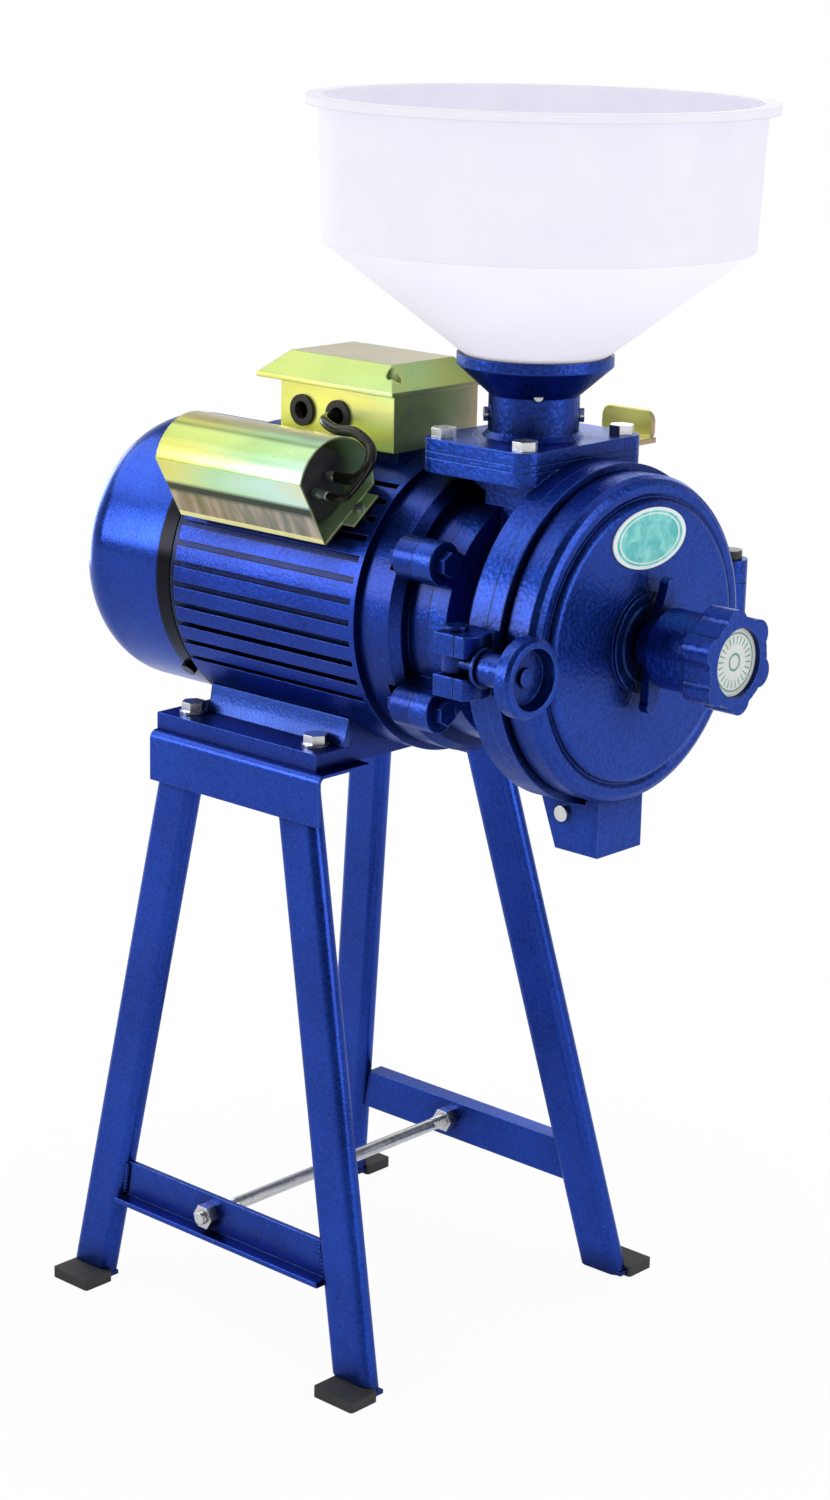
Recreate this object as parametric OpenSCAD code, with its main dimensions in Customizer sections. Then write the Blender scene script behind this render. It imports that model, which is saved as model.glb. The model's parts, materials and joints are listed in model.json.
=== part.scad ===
// Motor-driven disc mill for coffee and grain on a four-legged stand.
// X runs along the shaft towards the grinding head, Z is up, millimetres.
// Stations along X are counted from the axis of the feed throat.

/* [Stand] */
// Height of the rails on which the motor stands
stand_h = 348; // [300:1:420]
// Length of each rail
rail_l = 138; // [132:1:160]
// Width of a rail's top plate
rail_w = 42; // [38:1:50]
// Depth of a rail's outer skirt
rail_skirt = 30; // [22:1:40]
// Sheet thickness of the rails
rail_t = 2; // [1.5:0.5:4]
// Outer bend radius of the rails
rail_bend = 5; // [4.5:0.5:8]
// Rail beyond the motor's foot holes, outwards
rail_edge = 21; // [17:1:24]
// Width of a leg tube along the rail
leg_w = 30; // [24:1:36]
// Depth of a leg tube
leg_d = 13; // [13:1:18]
// Corner radius of a leg tube
leg_r = 6; // [3:0.5:6]
// Wall of a leg tube
leg_wall = 1.8; // [1.2:0.2:2.4]
// From a rail's rear end to the middle of the rear leg under it
rear_inset = 21; // [18:1:28]
// From a rail's front end to the middle of the front leg under it
front_inset = 29; // [20:1:36]
// How far the rear feet stand behind the tops of their legs
rear_spread = 49; // [30:1:70]
// How far the front feet stand ahead of the tops of their legs
front_spread = 86; // [60:1:100]
// How far the legs splay outwards on their way down
leg_splay = 33; // [10:1:40]
// Outward length of a foot plate inside its boot
foot_l = 19.5; // [16:0.5:26]
// Width of a foot plate
foot_w = 26.5; // [20:0.5:32]
// Thickness of a foot plate
foot_t = 2.5; // [2:0.5:5]
// How far the feet stand ahead of their legs' lower ends
foot_ahead = 3; // [0:1:6]
// Wall of a rubber boot
boot_wall = 2; // [1.5:0.5:4]
// Height of the middle of the cross bars
bar_z = 67; // [50:1:120]
// Height of a cross bar
bar_h = 25; // [20:1:36]
// Width of a cross bar's bottom lip
bar_lip = 12; // [8:1:16]
// Sheet thickness of a cross bar
bar_t = 3; // [2:0.5:4]
// Diameter of the tie rod
tie_d = 8; // [6:1:10]

/* [Motor] */
// Height of the shaft above the rails
shaft_h = 90; // [89:1:100]
// Foot hole spacing along the shaft
foot_hole_x = 100; // [90:1:105]
// Foot hole spacing across the shaft
foot_hole_y = 140; // [136:1:150]
// Diameter of the foot holes
foot_hole_d = 10; // [9:0.5:11]
// Foot plate beyond its holes, along the shaft
foot_end = 15; // [12:1:20]
// Foot plate beyond its holes, outwards
foot_side = 15; // [12:1:17]
// Thickness of the foot plate
foot_thick = 10; // [8:1:14]
// Width of the pedestal between the feet and the barrel
pedestal_w = 116; // [100:1:118]
// Length of the finned barrel
frame_l = 143; // [138:1:160]
// Radius over the fins
frame_r = 86; // [82:1:87]
// Angle from fin to fin
fin_step = 8; // [6:1:12]
// Width of the groove between two fins
fin_gap = 3.5; // [2:0.5:5]
// Depth of the groove between two fins
fin_depth = 5; // [3:0.5:8]
// Radius of the stator core
stator_r = 70; // [64:1:72]
// Length of the stator core
stator_l = 80; // [60:2:90]
// Radius of the rotor core
rotor_r = 42; // [36:1:46]
// Air gap between rotor and stator
air_gap = 0.5; // [0.3:0.1:1]
// Length of the front end shield's bowl
shield_l = 28; // [24:1:34]
// Step from the barrel down to the front end shield's bowl
shield_step = 4; // [3.5:0.5:6]
// Radius of the flange between motor and mill
flange_r = 72; // [66:1:74]
// Thickness of the motor's flange
flange_t = 14; // [12:1:16]
// How far the flange's ears stay inside the barrel's width
ear_in = 0; // [0:0.5:6]
// Up and down place of the flange's ears
ear_z = 41; // [34:1:46]
// Radius of the flange's ears
ear_r = 12; // [10:0.5:13]
// Diameter of the flange bolts
flange_bolt_d = 8; // [6:1:8]
// Diameter of the shaft through the mill
shaft_d = 24; // [22:1:25]
// Bore of the ball bearings
bearing_bore = 25; // [25:1:28]
// Outer diameter of the ball bearings
bearing_od = 52; // [48:1:56]
// Width of the ball bearings
bearing_w = 15; // [12:1:16]
// Step from the barrel down to the fan cover
fan_step = 5; // [3:0.5:8]
// Length of the fan cover
fan_cover_l = 86; // [80:1:110]
// Rounding of the fan cover's back
fan_round = 26; // [16:1:27]
// Sheet thickness of the fan cover
fan_sheet = 1.5; // [1:0.25:2]
// Open gap between the barrel and the fan cover
fan_slot = 9; // [6:1:11]
// Radius of the cooling fan
fan_r = 64; // [54:1:70]
// Number of fan blades
fan_blades = 7; // [5:1:10]
// Number of slots in each ring of the fan cover's grille
grille_slots = 16; // [8:1:18]

/* [Electrics] */
// Length of the terminal box along the shaft
box_l = 88; // [76:1:96]
// Width of the terminal box
box_w = 70; // [60:1:74]
// Height of the terminal box
box_h = 32; // [28:1:40]
// Sheet thickness of the terminal box, its lid and the capacitor cover
sheet_t = 1.2; // [0.8:0.2:1.6]
// Lid beyond the box, each way along the shaft
lid_over_x = 9; // [4:1:12]
// Lid beyond the box, each way across the shaft
lid_over_y = 5; // [3:1:8]
// Rise of the lid's bevelled top
lid_rise = 13; // [8:1:18]
// Radius of the cable grommets' holes
grommet_r = 7; // [5:0.5:8]
// Distance between the two grommets
grommet_step = 28; // [24:1:34]
// Radius of the capacitor
cap_r = 20; // [16:1:22]
// Length of the capacitor
cap_l = 92; // [70:1:100]
// Outer radius of the capacitor cover
cap_cover_r = 30; // [28:1:32]
// Length of the capacitor cover
cap_cover_l = 114; // [108:1:120]
// Height of the capacitor round the barrel, as an angle above level
cap_angle = 41.5; // [38:0.5:44]
// Diameter of the capacitor's leads
lead_d = 5; // [4:0.5:6]

/* [Mill head] */
// From the feed axis back to the motor's flange
adapter_back = 10; // [8:1:12]
// Thickness of the body's flange
body_flange_t = 13; // [10:1:15]
// Radius of the body's neck
neck_r = 48; // [42:1:54]
// From the feed axis to the back of the drum
drum_x = 34; // [31:1:36]
// From the feed axis to the joint of body and cover
joint_x = 50; // [48:1:54]
// Radius of the two joint flanges
drum_r = 94; // [92:1:96]
// Wall of the drum round the grinding chamber
chamber_wall = 10; // [9:0.5:13]
// Thickness of the body's back wall
back_wall = 8; // [6:1:9]
// Thickness of the cover's joint flange
cover_flange_t = 9; // [7:1:10]
// Step from the joint flanges down to the rim of the cover
rim_step = 4; // [3:0.5:6]
// From the joint to the front of the cover's rim
rim_l = 30; // [28:1:33]
// From the joint to the cover's flat face
face_l = 33; // [32:1:36]
// Step from the rim of the cover down to its raised face
face_step = 11; // [9:0.5:16]
// Thickness of the cover's front wall
face_wall = 7; // [6:1:8]
// Radius of the boss round the adjusting screw
boss_r = 28; // [24:1:30]
// Height of the boss on the cover's face
boss_h = 3.5; // [2:0.5:3.5]
// Radius of the grinding discs
disc_r = 75; // [68:1:77]
// Thickness of a grinding disc
disc_t = 8; // [7:0.5:8]
// Gap between the grinding discs at rest
disc_gap = 1.5; // [1.3:0.1:2]
// Furrows in each grinding disc
furrows = 24; // [12:2:36]
// Radius of the feed hole in the fixed disc
disc_hole_r = 32; // [28:1:36]
// Outer radius of the feed auger
auger_r = 28.5; // [24:0.5:29]
// Bore of the auger's housing
auger_bore = 30; // [30:0.5:32]
// Pitch of the feed auger
auger_pitch = 24; // [18:1:30]
// Diameter of the adjusting screw
screw_d = 20; // [18:1:22]
// Diameter of the thrust ball
ball_d = 12; // [10:1:14]
// Radius of the knob's skirt
skirt_r = 22; // [18:1:24]
// Length of the knob's skirt
skirt_l = 29; // [24:1:34]
// Radius over the knob's lobes
star_r = 29; // [27:0.5:32]
// Thickness of the knob's star
star_t = 18; // [14:1:22]
// Radius of the knob's cap
knob_cap_r = 18.5; // [14:0.5:19]
// Span over the two arms of the wing lock nut
wing_span = 74; // [60:1:80]
// Width of the wing lock nut's arms
wing_w = 8; // [6:1:10]
// Thickness of the wing lock nut
wing_t = 7; // [5:0.5:7]
// Width of the oval badge on the cover
badge_w = 62; // [40:1:70]
// Height of the oval badge on the cover
badge_h = 33; // [20:1:36]

/* [Clamp and hinge] */
// How far the swing bolt stands outside the joint flanges
clamp_out = 13; // [11:1:16]
// Height of the forked lugs
lug_h = 34; // [30:1:40]
// Lugs beyond the swing bolt, outwards
lug_out = 11; // [9:1:12]
// Diameter of the swing bolt
swing_d = 10; // [8:1:10]
// Radius of the swing bolt's eye
eye_r = 7.5; // [7:0.5:8]
// From the joint back to the swing bolt's pivot pin
pivot_back = 8; // [8:0.5:9]
// Radius of the swing bolt's rounded seat round its pivot
seat_r = 18; // [17.5:0.5:18.5]
// Radius of the hand nut's wheel
wheel_r = 21.5; // [18:0.5:23]
// From the seat to the back of the hand nut's wheel
nut_hub_l = 21; // [20:1:26]
// Thickness of the hand nut's wheel
wheel_t = 12; // [9:1:14]
// How far the hinge pin stands outside the joint flanges
hinge_out = 22; // [18:1:26]
// Radius of the hinge knuckles
knuckle_r = 10; // [8:0.5:11]
// Height of the cover's knuckle
knuckle_mid = 24; // [20:1:30]
// Height of each of the body's two knuckles
knuckle_end = 13; // [10:1:16]
// Diameter of the hinge pin
hinge_pin_d = 8; // [6:1:9]

/* [Outlet] */
// Outer width of the chute
chute_w = 38; // [32:1:44]
// Wall of the chute
chute_wall = 4; // [3:0.5:5]
// From the feed axis to the chute's front
chute_x = 71; // [70:1:74]
// Length of the chute's mouth along the shaft
chute_l = 30; // [28:1:31]
// How far the chute hangs below the drum
chute_drop = 27; // [20:1:40]

/* [Feed] */
// Length of the throat's flange along the shaft
throat_l = 78; // [74:1:80]
// Width of the throat's flange across the shaft
throat_w = 102; // [96:1:106]
// Corner radius of the throat's flange
throat_corner = 10; // [6:1:12]
// Thickness of the throat's flange
throat_t = 7; // [6:0.5:9]
// Height of the body's top flange above the shaft
top_flange_h = 91.4; // [91:0.1:96]
// Thickness of the body's top flange
top_flange_t = 8; // [7:0.5:8]
// Diameter of the throat's bolts
throat_bolt_d = 8; // [6:1:8]
// Throat bolts to the flange's edges
throat_bolt_in = 10; // [9:0.5:11]
// Outer radius of the throat's tube
tube_r = 25; // [24:0.5:26]
// Bore radius of the throat's tube
tube_bore = 21.5; // [20:0.5:22]
// Height of the throat's tube above its flange
tube_h = 23; // [18:1:30]
// Outer radius of the throat's cup
cup_r = 43; // [40:1:46]
// Height of the flare from tube to cup
flare_h = 16; // [12:1:20]
// Height of the cup's rim
cup_rim_h = 6; // [4:1:8]
// Thickness of the gate plate
gate_t = 3; // [2:0.5:4]
// Width of the gate plate
gate_w = 46; // [45:0.5:47]
// Length of the gate plate
gate_l = 84; // [80:1:92]
// How far the gate's edge is pushed past the feed axis at rest
gate_in = 4; // [0:1:6]
// Width of the gate's handle tab
tab_w = 36; // [28:1:44]
// Height of the gate's handle tab
tab_h = 18; // [14:1:22]
// Running gap round the gate
gate_gap = 0.3; // [0.3:0.05:0.5]
// Radius of the hopper's wall at the lip
hopper_r = 120; // [100:1:140]
// Radius of the hopper's wall above its cone
hopper_low_r = 117; // [90:1:135]
// Radius of the hopper's lip
lip_r = 126.6; // [124:0.2:146]
// Thickness of the hopper's lip
lip_t = 4.7; // [3:0.1:6]
// Height of the hopper's wall
hopper_wall_h = 77; // [50:1:120]
// Height of the hopper's cone above the cup
cone_h = 59; // [50:1:80]
// Wall of the hopper
hopper_t = 2.5; // [2:0.25:3]

/* [Hidden] */
$fn = 64;
// Overlap that makes a cut run clear of the face it starts from
cut = 1;
// Gap between pieces that seat on each other
seat = 0.2;
// Gap between pieces that move past each other
clear = 0.3;
// Radial clearance of a running fit
run = 0.05;
// Radii of the mill head
rim_r = drum_r - rim_step;
face_r = rim_r - face_step;
chamber_r = drum_r - chamber_wall;

paint = "royalblue";
zinc = "goldenrod";
steel = "silver";
rubber = "dimgray";

axis_z = stand_h + shaft_h;

// Stations along the shaft
adapter_x = -adapter_back;
shield_x = adapter_x - flange_t;
frame_x1 = shield_x - shield_l;
frame_x0 = frame_x1 - frame_l;
foot_mid_x = frame_x0 + foot_hole_x / 2;
rail_x0 = foot_mid_x - foot_hole_x / 2 - foot_end;
rail_mid_x = rail_x0 + rail_l / 2;
fan_x1 = frame_x0 - fan_slot;
fan_x0 = fan_x1 - fan_cover_l;
cover_front_x = joint_x + face_l;
boss_x = cover_front_x + boss_h;
wing_x = boss_x + 2;
skirt_x = wing_x + wing_t + 3.5;
star_x = skirt_x + skirt_l;
knob_x1 = star_x + star_t;

// The part's origin lies under the middle of its length
shift_x = -(fan_x0 + knob_x1) / 2;

// Stand
rail_y = foot_hole_y / 2 + rail_edge;
rail_x1 = rail_x0 + rail_l;
leg_top_z = stand_h - rail_t;
// The legs start far enough inside the skirts to clear them lower down
leg_top_y = rail_y - rail_t - leg_d / 2 - leg_splay * rail_skirt / leg_top_z - clear;
leg_foot_y = leg_top_y + leg_splay;
rear_top_x = rail_x0 + rear_inset;
front_top_x = rail_x1 - front_inset;
rear_foot_x = rear_top_x - rear_spread;
front_foot_x = front_top_x + front_spread;
boot_y0 = leg_foot_y + 2;
boot_h = foot_t + 2 * boot_wall;
bar_y = leg_foot_y - leg_splay * bar_z / leg_top_z;
bar_x0 = rear_foot_x + rear_spread * bar_z / leg_top_z;
bar_x1 = front_foot_x - front_spread * bar_z / leg_top_z;
tie_nut_w = tie_d * 1.65;
tie_nut_t = tie_d * 0.8;
foot_bolt_d = foot_hole_d - 2;
washer_t = 1.6;

// Motor
rotor_mid_x = (frame_x0 + frame_x1) / 2;
fan_cover_r = frame_r - fan_step;
shield_r = frame_r - shield_step;
ear_y = frame_r - ear_r - ear_in;
clamp_y = drum_r + clamp_out;
hinge_y = drum_r + hinge_out;
grille_r = fan_cover_r - fan_round;
grille_slot_w = 4;
foot_part_w = 2 * sqrt(max(pow(fan_cover_r + 2, 2) - pow(shaft_h - foot_thick, 2), 100));
winding_l = 20;
winding_r = stator_r - 6;
bearing_front_x = shield_x - bearing_w - 5;
bearing_rear_x = frame_x0 - bearing_w + 3;
rear_shield_t = fan_slot - 1;
rear_boss_r = bearing_od / 2 + 8;
fan_hub_x = fan_x0 + 36;
fan_hub_l = 30;
fan_hub_r = 22;
fan_lug_l = 14;
fan_screw_d = 5;
box_mid_x = (frame_x0 + frame_x1) / 2 + 8;
box_x0 = box_mid_x - box_l / 2;
box_z = axis_z + frame_r;
box_top = box_z + box_h;
pad_w = box_w - 8;
grommet_z = box_z + box_h / 2;
grommet_x = box_mid_x - 12;
lid_screw_d = 4;
lid_screw_l = 10;
lid_seat = 3;
lid_head_h = 2.5;
lid_bevel = 14;
lid_mid_x = box_mid_x - 6;
cap_cover_x0 = box_x0 - 26;
cap_cover_x1 = cap_cover_x0 + cap_cover_l;
cap_x0 = cap_cover_x0 + (cap_cover_l - cap_l) / 2;
cap_floor_t = sheet_t * 1.25;
// The cover's floor lies on the barrel a little above the capacitor's own line from the shaft
cap_lean = 11;
cap_turn = 90 - cap_angle - cap_lean;
cap_floor = frame_r + seat;
cap_up = cap_floor + cap_floor_t + seat + cap_r;
cap_cover_up = cap_up - cap_r * 0.17;
cap_y = -cap_cover_up * tan(cap_lean);
cap_panel = cap_r + sheet_t + 1;
cap_panel_lean = 8;
cap_tab = 9;
cap_tab_w = 24;
cap_tab_y = cap_y + 4;
cap_screw_d = 4;
cap_post_y = 7;

// Mill head
ear_bolt_head = 5.5;
ear_web = 2 * ear_r - 4;
back_x = drum_x + back_wall;
disc_x = joint_x - disc_t;
moving_x = joint_x + disc_gap;
carrier_x = moving_x + disc_t;
carrier_t = 6;
carrier_r = disc_r - 23;
hub_r = 20;
hub_x0 = moving_x + 1.5;
hub_x1 = carrier_x + carrier_t + 6;
ball_x = hub_x1 + 1;
ball_gap = clear;
screw_x0 = ball_x + ball_d / 2 + ball_gap;
shaft_tip_x = hub_x0 + 7;
hex_r = shaft_d / 2 - 0.5;
hub_bore_x = shaft_tip_x + 3.5;
screw_step_r = screw_d / 2 - 2;
face_round = 4;
badge_z = face_r - 1 - face_round - seat - badge_h / 2;
knob_floor = 5;
groove_depth = 4;
disc_screw_r = disc_r - 20;
disc_screw_d = 6;
auger_x0 = -1;
auger_x1 = back_x - 4;
auger_hub_r = 16;
spring_wire = 2.4;
spring_r = shaft_d / 2 + 3.4;
spring_turns = 3;

// Clamp and hinge
pivot_x = joint_x - pivot_back;
slot_h = swing_d + 2 * 0.6;
slot_in = eye_r + 1.5;
seat_x = pivot_x + seat_r;
clamp_washer_t = 2;
// Play of the clamp, which is done up by hand
clamp_play = 0.9;
nut_x = seat_x + clamp_play + clamp_washer_t;
wheel_x = nut_x + nut_hub_l;
nut_hub_r = 9;
pin_d = 8;
hinge_x = joint_x + 2;

// Outlet
chute_z0 = axis_z - drum_r - chute_drop;
chute_lug_t = 4;
chute_screw_d = 5;
chute_screw_x = joint_x - 4;
chute_screw_z = axis_z - drum_r - 6;

// Feed
flange_top_z = axis_z + top_flange_h;
guide_t = gate_t + 2 * gate_gap;
throat_z = flange_top_z + guide_t;
tube_z = throat_z + throat_t;
flare_z = tube_z + tube_h;
cup_z = flare_z + flare_h;
cup_top_z = cup_z + cup_rim_h;
cup_in_r = cup_r - 3;
cone_top_z = cup_top_z + cone_h;
lip_top_z = cone_top_z + hopper_wall_h;
neck_out_r = tube_bore - 0.5;
// The hopper's cone leans on the inner edge of the cup's rim
cone_slope = cone_h / (hopper_low_r - cup_in_r + seat);
cone_foot_z = cup_top_z - (cup_in_r - seat - neck_out_r) * cone_slope;
hopper_z0 = tube_z + 5;
duct_w = 2 * tube_bore + 13;
throat_bolts_at = [
    for (x = [-1, 1], y = [-1, 1])
        [x * (throat_l / 2 - throat_bolt_in), y * (throat_w / 2 - throat_bolt_in)]
];
ears_at = [for (y = [-1, 1], z = [-1, 1]) [y * ear_y, z * ear_z]];

// Shared shapes

// Puts a piece drawn at the feed axis into the part's frame
module placed() translate([shift_x, 0, 0]) children();

// The far side's copy of a piece drawn on the near side
module far_side() mirror([0, 1, 0]) children();

// A solid turned about the shaft: the outline gives radius and station
module turned() translate([0, 0, axis_z]) rotate([0, 90, 0]) rotate_extrude() children();

// A round bar along the shaft, y and z away from it
module bar_x(x0, x1, r, y = 0, z = 0, sides = $fn) {
    translate([x0, y, axis_z + z]) rotate([0, 90, 0]) cylinder(h = x1 - x0, r = r, $fn = sides);
}

// A block between two stations, centred on y, between two heights
module block(x0, x1, w, z0, z1, y = 0) {
    translate([x0, y - w / 2, z0]) cube([x1 - x0, w, z1 - z0]);
}

// An outline in X and Z, made a plate of the given width centred on y
module side_plate(w, y = 0) translate([0, y + w / 2, 0]) rotate([90, 0, 0]) linear_extrude(w) children();

// An outline in Y and Z, drawn out along X
module drawn_x(x0, x1) translate([x0, 0, 0]) rotate([90, 0, 90]) linear_extrude(x1 - x0) children();

// A rectangle with round corners, centred
module rounded(w, d, r) {
    square([w, d - 2 * r], center = true);
    square([w - 2 * r, d], center = true);
    for (x = [-1, 1], y = [-1, 1]) translate([x * (w / 2 - r), y * (d / 2 - r)]) circle(r);
}

// A hexagon head bolt pointing down from the seat of its head
module bolt_down(d, grip, head_t) {
    cylinder(h = head_t, d = d * 1.8, $fn = 6);
    translate([0, 0, -grip]) cylinder(h = grip + head_t / 2, d = d);
}

// Stand

module near_rail() color(paint) placed() difference() {
    drawn_x(rail_x0, rail_x1) {
        translate([-rail_y + rail_bend, stand_h - rail_t]) square([rail_w - rail_bend, rail_t]);
        translate([-rail_y, stand_h - rail_skirt]) square([rail_t, rail_skirt - rail_bend]);
        translate([-rail_y + rail_bend, stand_h - rail_bend]) intersection() {
            difference() {
                circle(rail_bend);
                circle(rail_bend - rail_t);
            }
            translate([-rail_bend, 0]) square(rail_bend);
        }
    }
    foot_holes();
}

module far_rail() far_side() near_rail();

// Holes through the rails and the motor's feet
module foot_holes() {
    for (x = [-1, 1], y = [-1, 1])
        translate([foot_mid_x + x * foot_hole_x / 2, y * foot_hole_y / 2, stand_h - rail_skirt])
            cylinder(h = rail_skirt + foot_thick + cut, d = foot_hole_d);
}

// A bar along a near leg's middle line, longer than the leg at both ends
module along_leg(top_x, foot_x) {
    run_x = top_x - foot_x;
    length = norm([run_x, leg_splay, leg_top_z]);
    translate([foot_x, -leg_foot_y, 0])
        rotate([-asin(leg_splay / length), atan2(run_x, leg_top_z), 0])
            translate([0, 0, -leg_w]) linear_extrude(length + 2 * leg_w) children();
}

// A leg tube cut level under the rail, with its foot plate bent outwards
module leg(top_x, foot_x) color(paint) placed() {
    difference() {
        intersection() {
            along_leg(top_x, foot_x) difference() {
                rounded(leg_w, leg_d, leg_r);
                rounded(leg_w - 2 * leg_wall, leg_d - 2 * leg_wall, leg_r - leg_wall);
            }
            block(rear_foot_x - leg_w * 2, front_foot_x + leg_w * 2, 4 * leg_foot_y, boot_wall, leg_top_z);
        }
        // Room for the boot
        translate([foot_x - 2 * leg_w, -boot_y0 + clear - leg_w, 0])
            cube([4 * leg_w, leg_w, boot_h + clear]);
        // Room for the nut of the foot bolt beside the leg's top
        for (x = [-1, 1])
            translate([foot_mid_x + x * foot_hole_x / 2, -foot_hole_y / 2, leg_top_z - 2 * foot_bolt_d])
                cylinder(h = 2 * foot_bolt_d + cut, r = foot_bolt_d + seat);
    }
    translate([foot_x + foot_ahead - foot_w / 2, -boot_y0 - foot_l, boot_wall])
        cube([foot_w, foot_l + boot_y0 - leg_foot_y + leg_d / 2 - leg_wall, foot_t]);
}

module near_rear_leg() leg(rear_top_x, rear_foot_x);
module near_front_leg() leg(front_top_x, front_foot_x);
module far_rear_leg() far_side() near_rear_leg();
module far_front_leg() far_side() near_front_leg();

// An angle bar between two near legs, trimmed to their sides, its lip at the given height
module angle_bar(lip_z) color(paint) placed() difference() {
    drawn_x(bar_x0, bar_x1) {
        translate([-bar_y - bar_t / 2, bar_z - bar_h / 2]) square([bar_t, bar_h]);
        translate([-bar_y - bar_lip + bar_t / 2, lip_z]) square([bar_lip, bar_t]);
    }
    along_leg(rear_top_x, rear_foot_x) square([leg_w, 6 * leg_d], center = true);
    along_leg(front_top_x, front_foot_x) square([leg_w, 6 * leg_d], center = true);
    tie_bar(tie_d / 2 + seat);
}

// The two bars are alike, but the far one is fitted the other way up
module near_cross_bar() angle_bar(bar_z - bar_h / 2);
module far_cross_bar() far_side() angle_bar(bar_z + bar_h / 2 - bar_t);

// A round bar across the stand on the tie rod's line
module tie_bar(r) {
    half = bar_y + bar_t / 2 + tie_nut_t + 3;
    translate([rail_mid_x, half, bar_z]) rotate([90, 0, 0]) cylinder(h = 2 * half, r = r);
}

module tie_rod() color(steel) placed() tie_bar(tie_d / 2);

module tie_rod_nuts() color(steel) placed()
    for (side = [-1, 1], out = [-1, 1])
        translate([rail_mid_x, side * (bar_y + out * (bar_t / 2 + tie_nut_t / 2)), bar_z])
            rotate([90, 0, 0]) difference() {
                cylinder(h = tie_nut_t, d = tie_nut_w * 1.15, center = true, $fn = 6);
                cylinder(h = tie_nut_t + cut, r = tie_d / 2 + run, center = true);
            }

// Each boot is a sleeve pushed over a foot plate from outside
module rubber_boots() color(rubber) placed()
    for (side = [0, 1], x = [rear_foot_x, front_foot_x]) mirror([0, side, 0])
        translate([x + foot_ahead, -boot_y0, 0]) difference() {
            translate([0, -(foot_l + boot_wall) / 2, 0])
                linear_extrude(boot_h) rounded(foot_w + 2 * boot_wall, foot_l + boot_wall, boot_wall);
            translate([-foot_w / 2, -foot_l, boot_wall]) cube([foot_w, foot_l + cut, foot_t]);
        }

// Bolts through feet and rails, each with a washer under its head and a nut below
module foot_bolts() color(steel) placed()
    for (x = [-1, 1], y = [-1, 1])
        translate([foot_mid_x + x * foot_hole_x / 2, y * foot_hole_y / 2, stand_h]) {
            grip = foot_thick + washer_t + rail_t;
            translate([0, 0, foot_thick + washer_t])
                bolt_down(foot_bolt_d, grip + foot_bolt_d, foot_bolt_d * 0.65);
            translate([0, 0, foot_thick]) ring(foot_bolt_d / 2 + run, foot_bolt_d, washer_t);
            translate([0, 0, -rail_t - foot_bolt_d * 0.8]) difference() {
                cylinder(h = foot_bolt_d * 0.8, d = foot_bolt_d * 1.8, $fn = 6);
                translate([0, 0, -cut]) cylinder(h = foot_bolt_d * 2, r = foot_bolt_d / 2 + run);
            }
        }

// A flat ring standing on its plane
module ring(r_in, r_out, t) difference() {
    cylinder(h = t, r = r_out);
    translate([0, 0, -cut]) cylinder(h = t + 2 * cut, r = r_in);
}

// Motor

module motor_frame() color(paint) placed() difference() {
    union() {
        bar_x(frame_x0, frame_x1, frame_r);
        block(box_x0, box_x0 + box_l, pad_w, axis_z + stator_r, box_z);
        block(frame_x0 + 4, foot_mid_x + foot_hole_x / 2 + foot_end, pedestal_w,
            stand_h, axis_z - stator_r / 2);
        block(rail_x0, foot_mid_x + foot_hole_x / 2 + foot_end, foot_hole_y + 2 * foot_side,
            stand_h, stand_h + foot_thick);
    }
    bar_x(frame_x0 - cut, frame_x1 + cut, stator_r);
    // Grooves between the fins on both flanks
    for (side = [0, 1], a = [-32 : fin_step : 60]) mirror([0, side, 0])
        translate([frame_x0 - cut, 0, axis_z]) rotate([a, 0, 0])
            translate([0, frame_r - fin_depth, -fin_gap / 2])
                cube([frame_l - fin_gap + cut, fin_depth + cut, fin_gap]);
    // The feet part behind the barrel to clear the fan cover
    block(rail_x0 - cut, frame_x0, foot_part_w, stand_h - cut, stand_h + foot_thick + cut);
    foot_holes();
    cap_screw_holes(cap_screw_d / 2 + run);
}

module front_end_shield() color(paint) placed() difference() {
    union() {
        turned() polygon([
            [0, adapter_x], [flange_r, adapter_x], [flange_r, shield_x],
            [shield_r - 4, shield_x], [shield_r, shield_x - 6], [shield_r, frame_x1], [0, frame_x1]
        ]);
        flange_ears(shield_x, adapter_x);
    }
    bar_x(frame_x1 - cut, bearing_front_x, winding_r + 2);
    bar_x(frame_x1, bearing_front_x + bearing_w, bearing_od / 2 + run);
    bar_x(frame_x1, adapter_x + cut, shaft_d / 2 + 1);
    // Pockets in the bowl for the flange bolts' nuts
    for (e = ears_at) bar_x(shield_x - flange_bolt_d - 3, shield_x, flange_bolt_d + 1, e[0], e[1]);
    ear_holes();
}

// Four round ears, each joined to the flange by a straight web
module flange_ears(x0, x1) drawn_x(x0, x1) for (e = ears_at) {
    translate([e[0], axis_z + e[1]]) circle(ear_r);
    translate([0, axis_z]) rotate(atan2(e[1], e[0]))
        translate([flange_r - ear_r, -ear_web / 2]) square([norm(e) - flange_r + ear_r, ear_web]);
}

// Holes for the flange bolts
module ear_holes() {
    for (e = ears_at)
        bar_x(shield_x - cut, adapter_x + body_flange_t + cut, flange_bolt_d / 2 + seat, e[0], e[1]);
}

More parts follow.
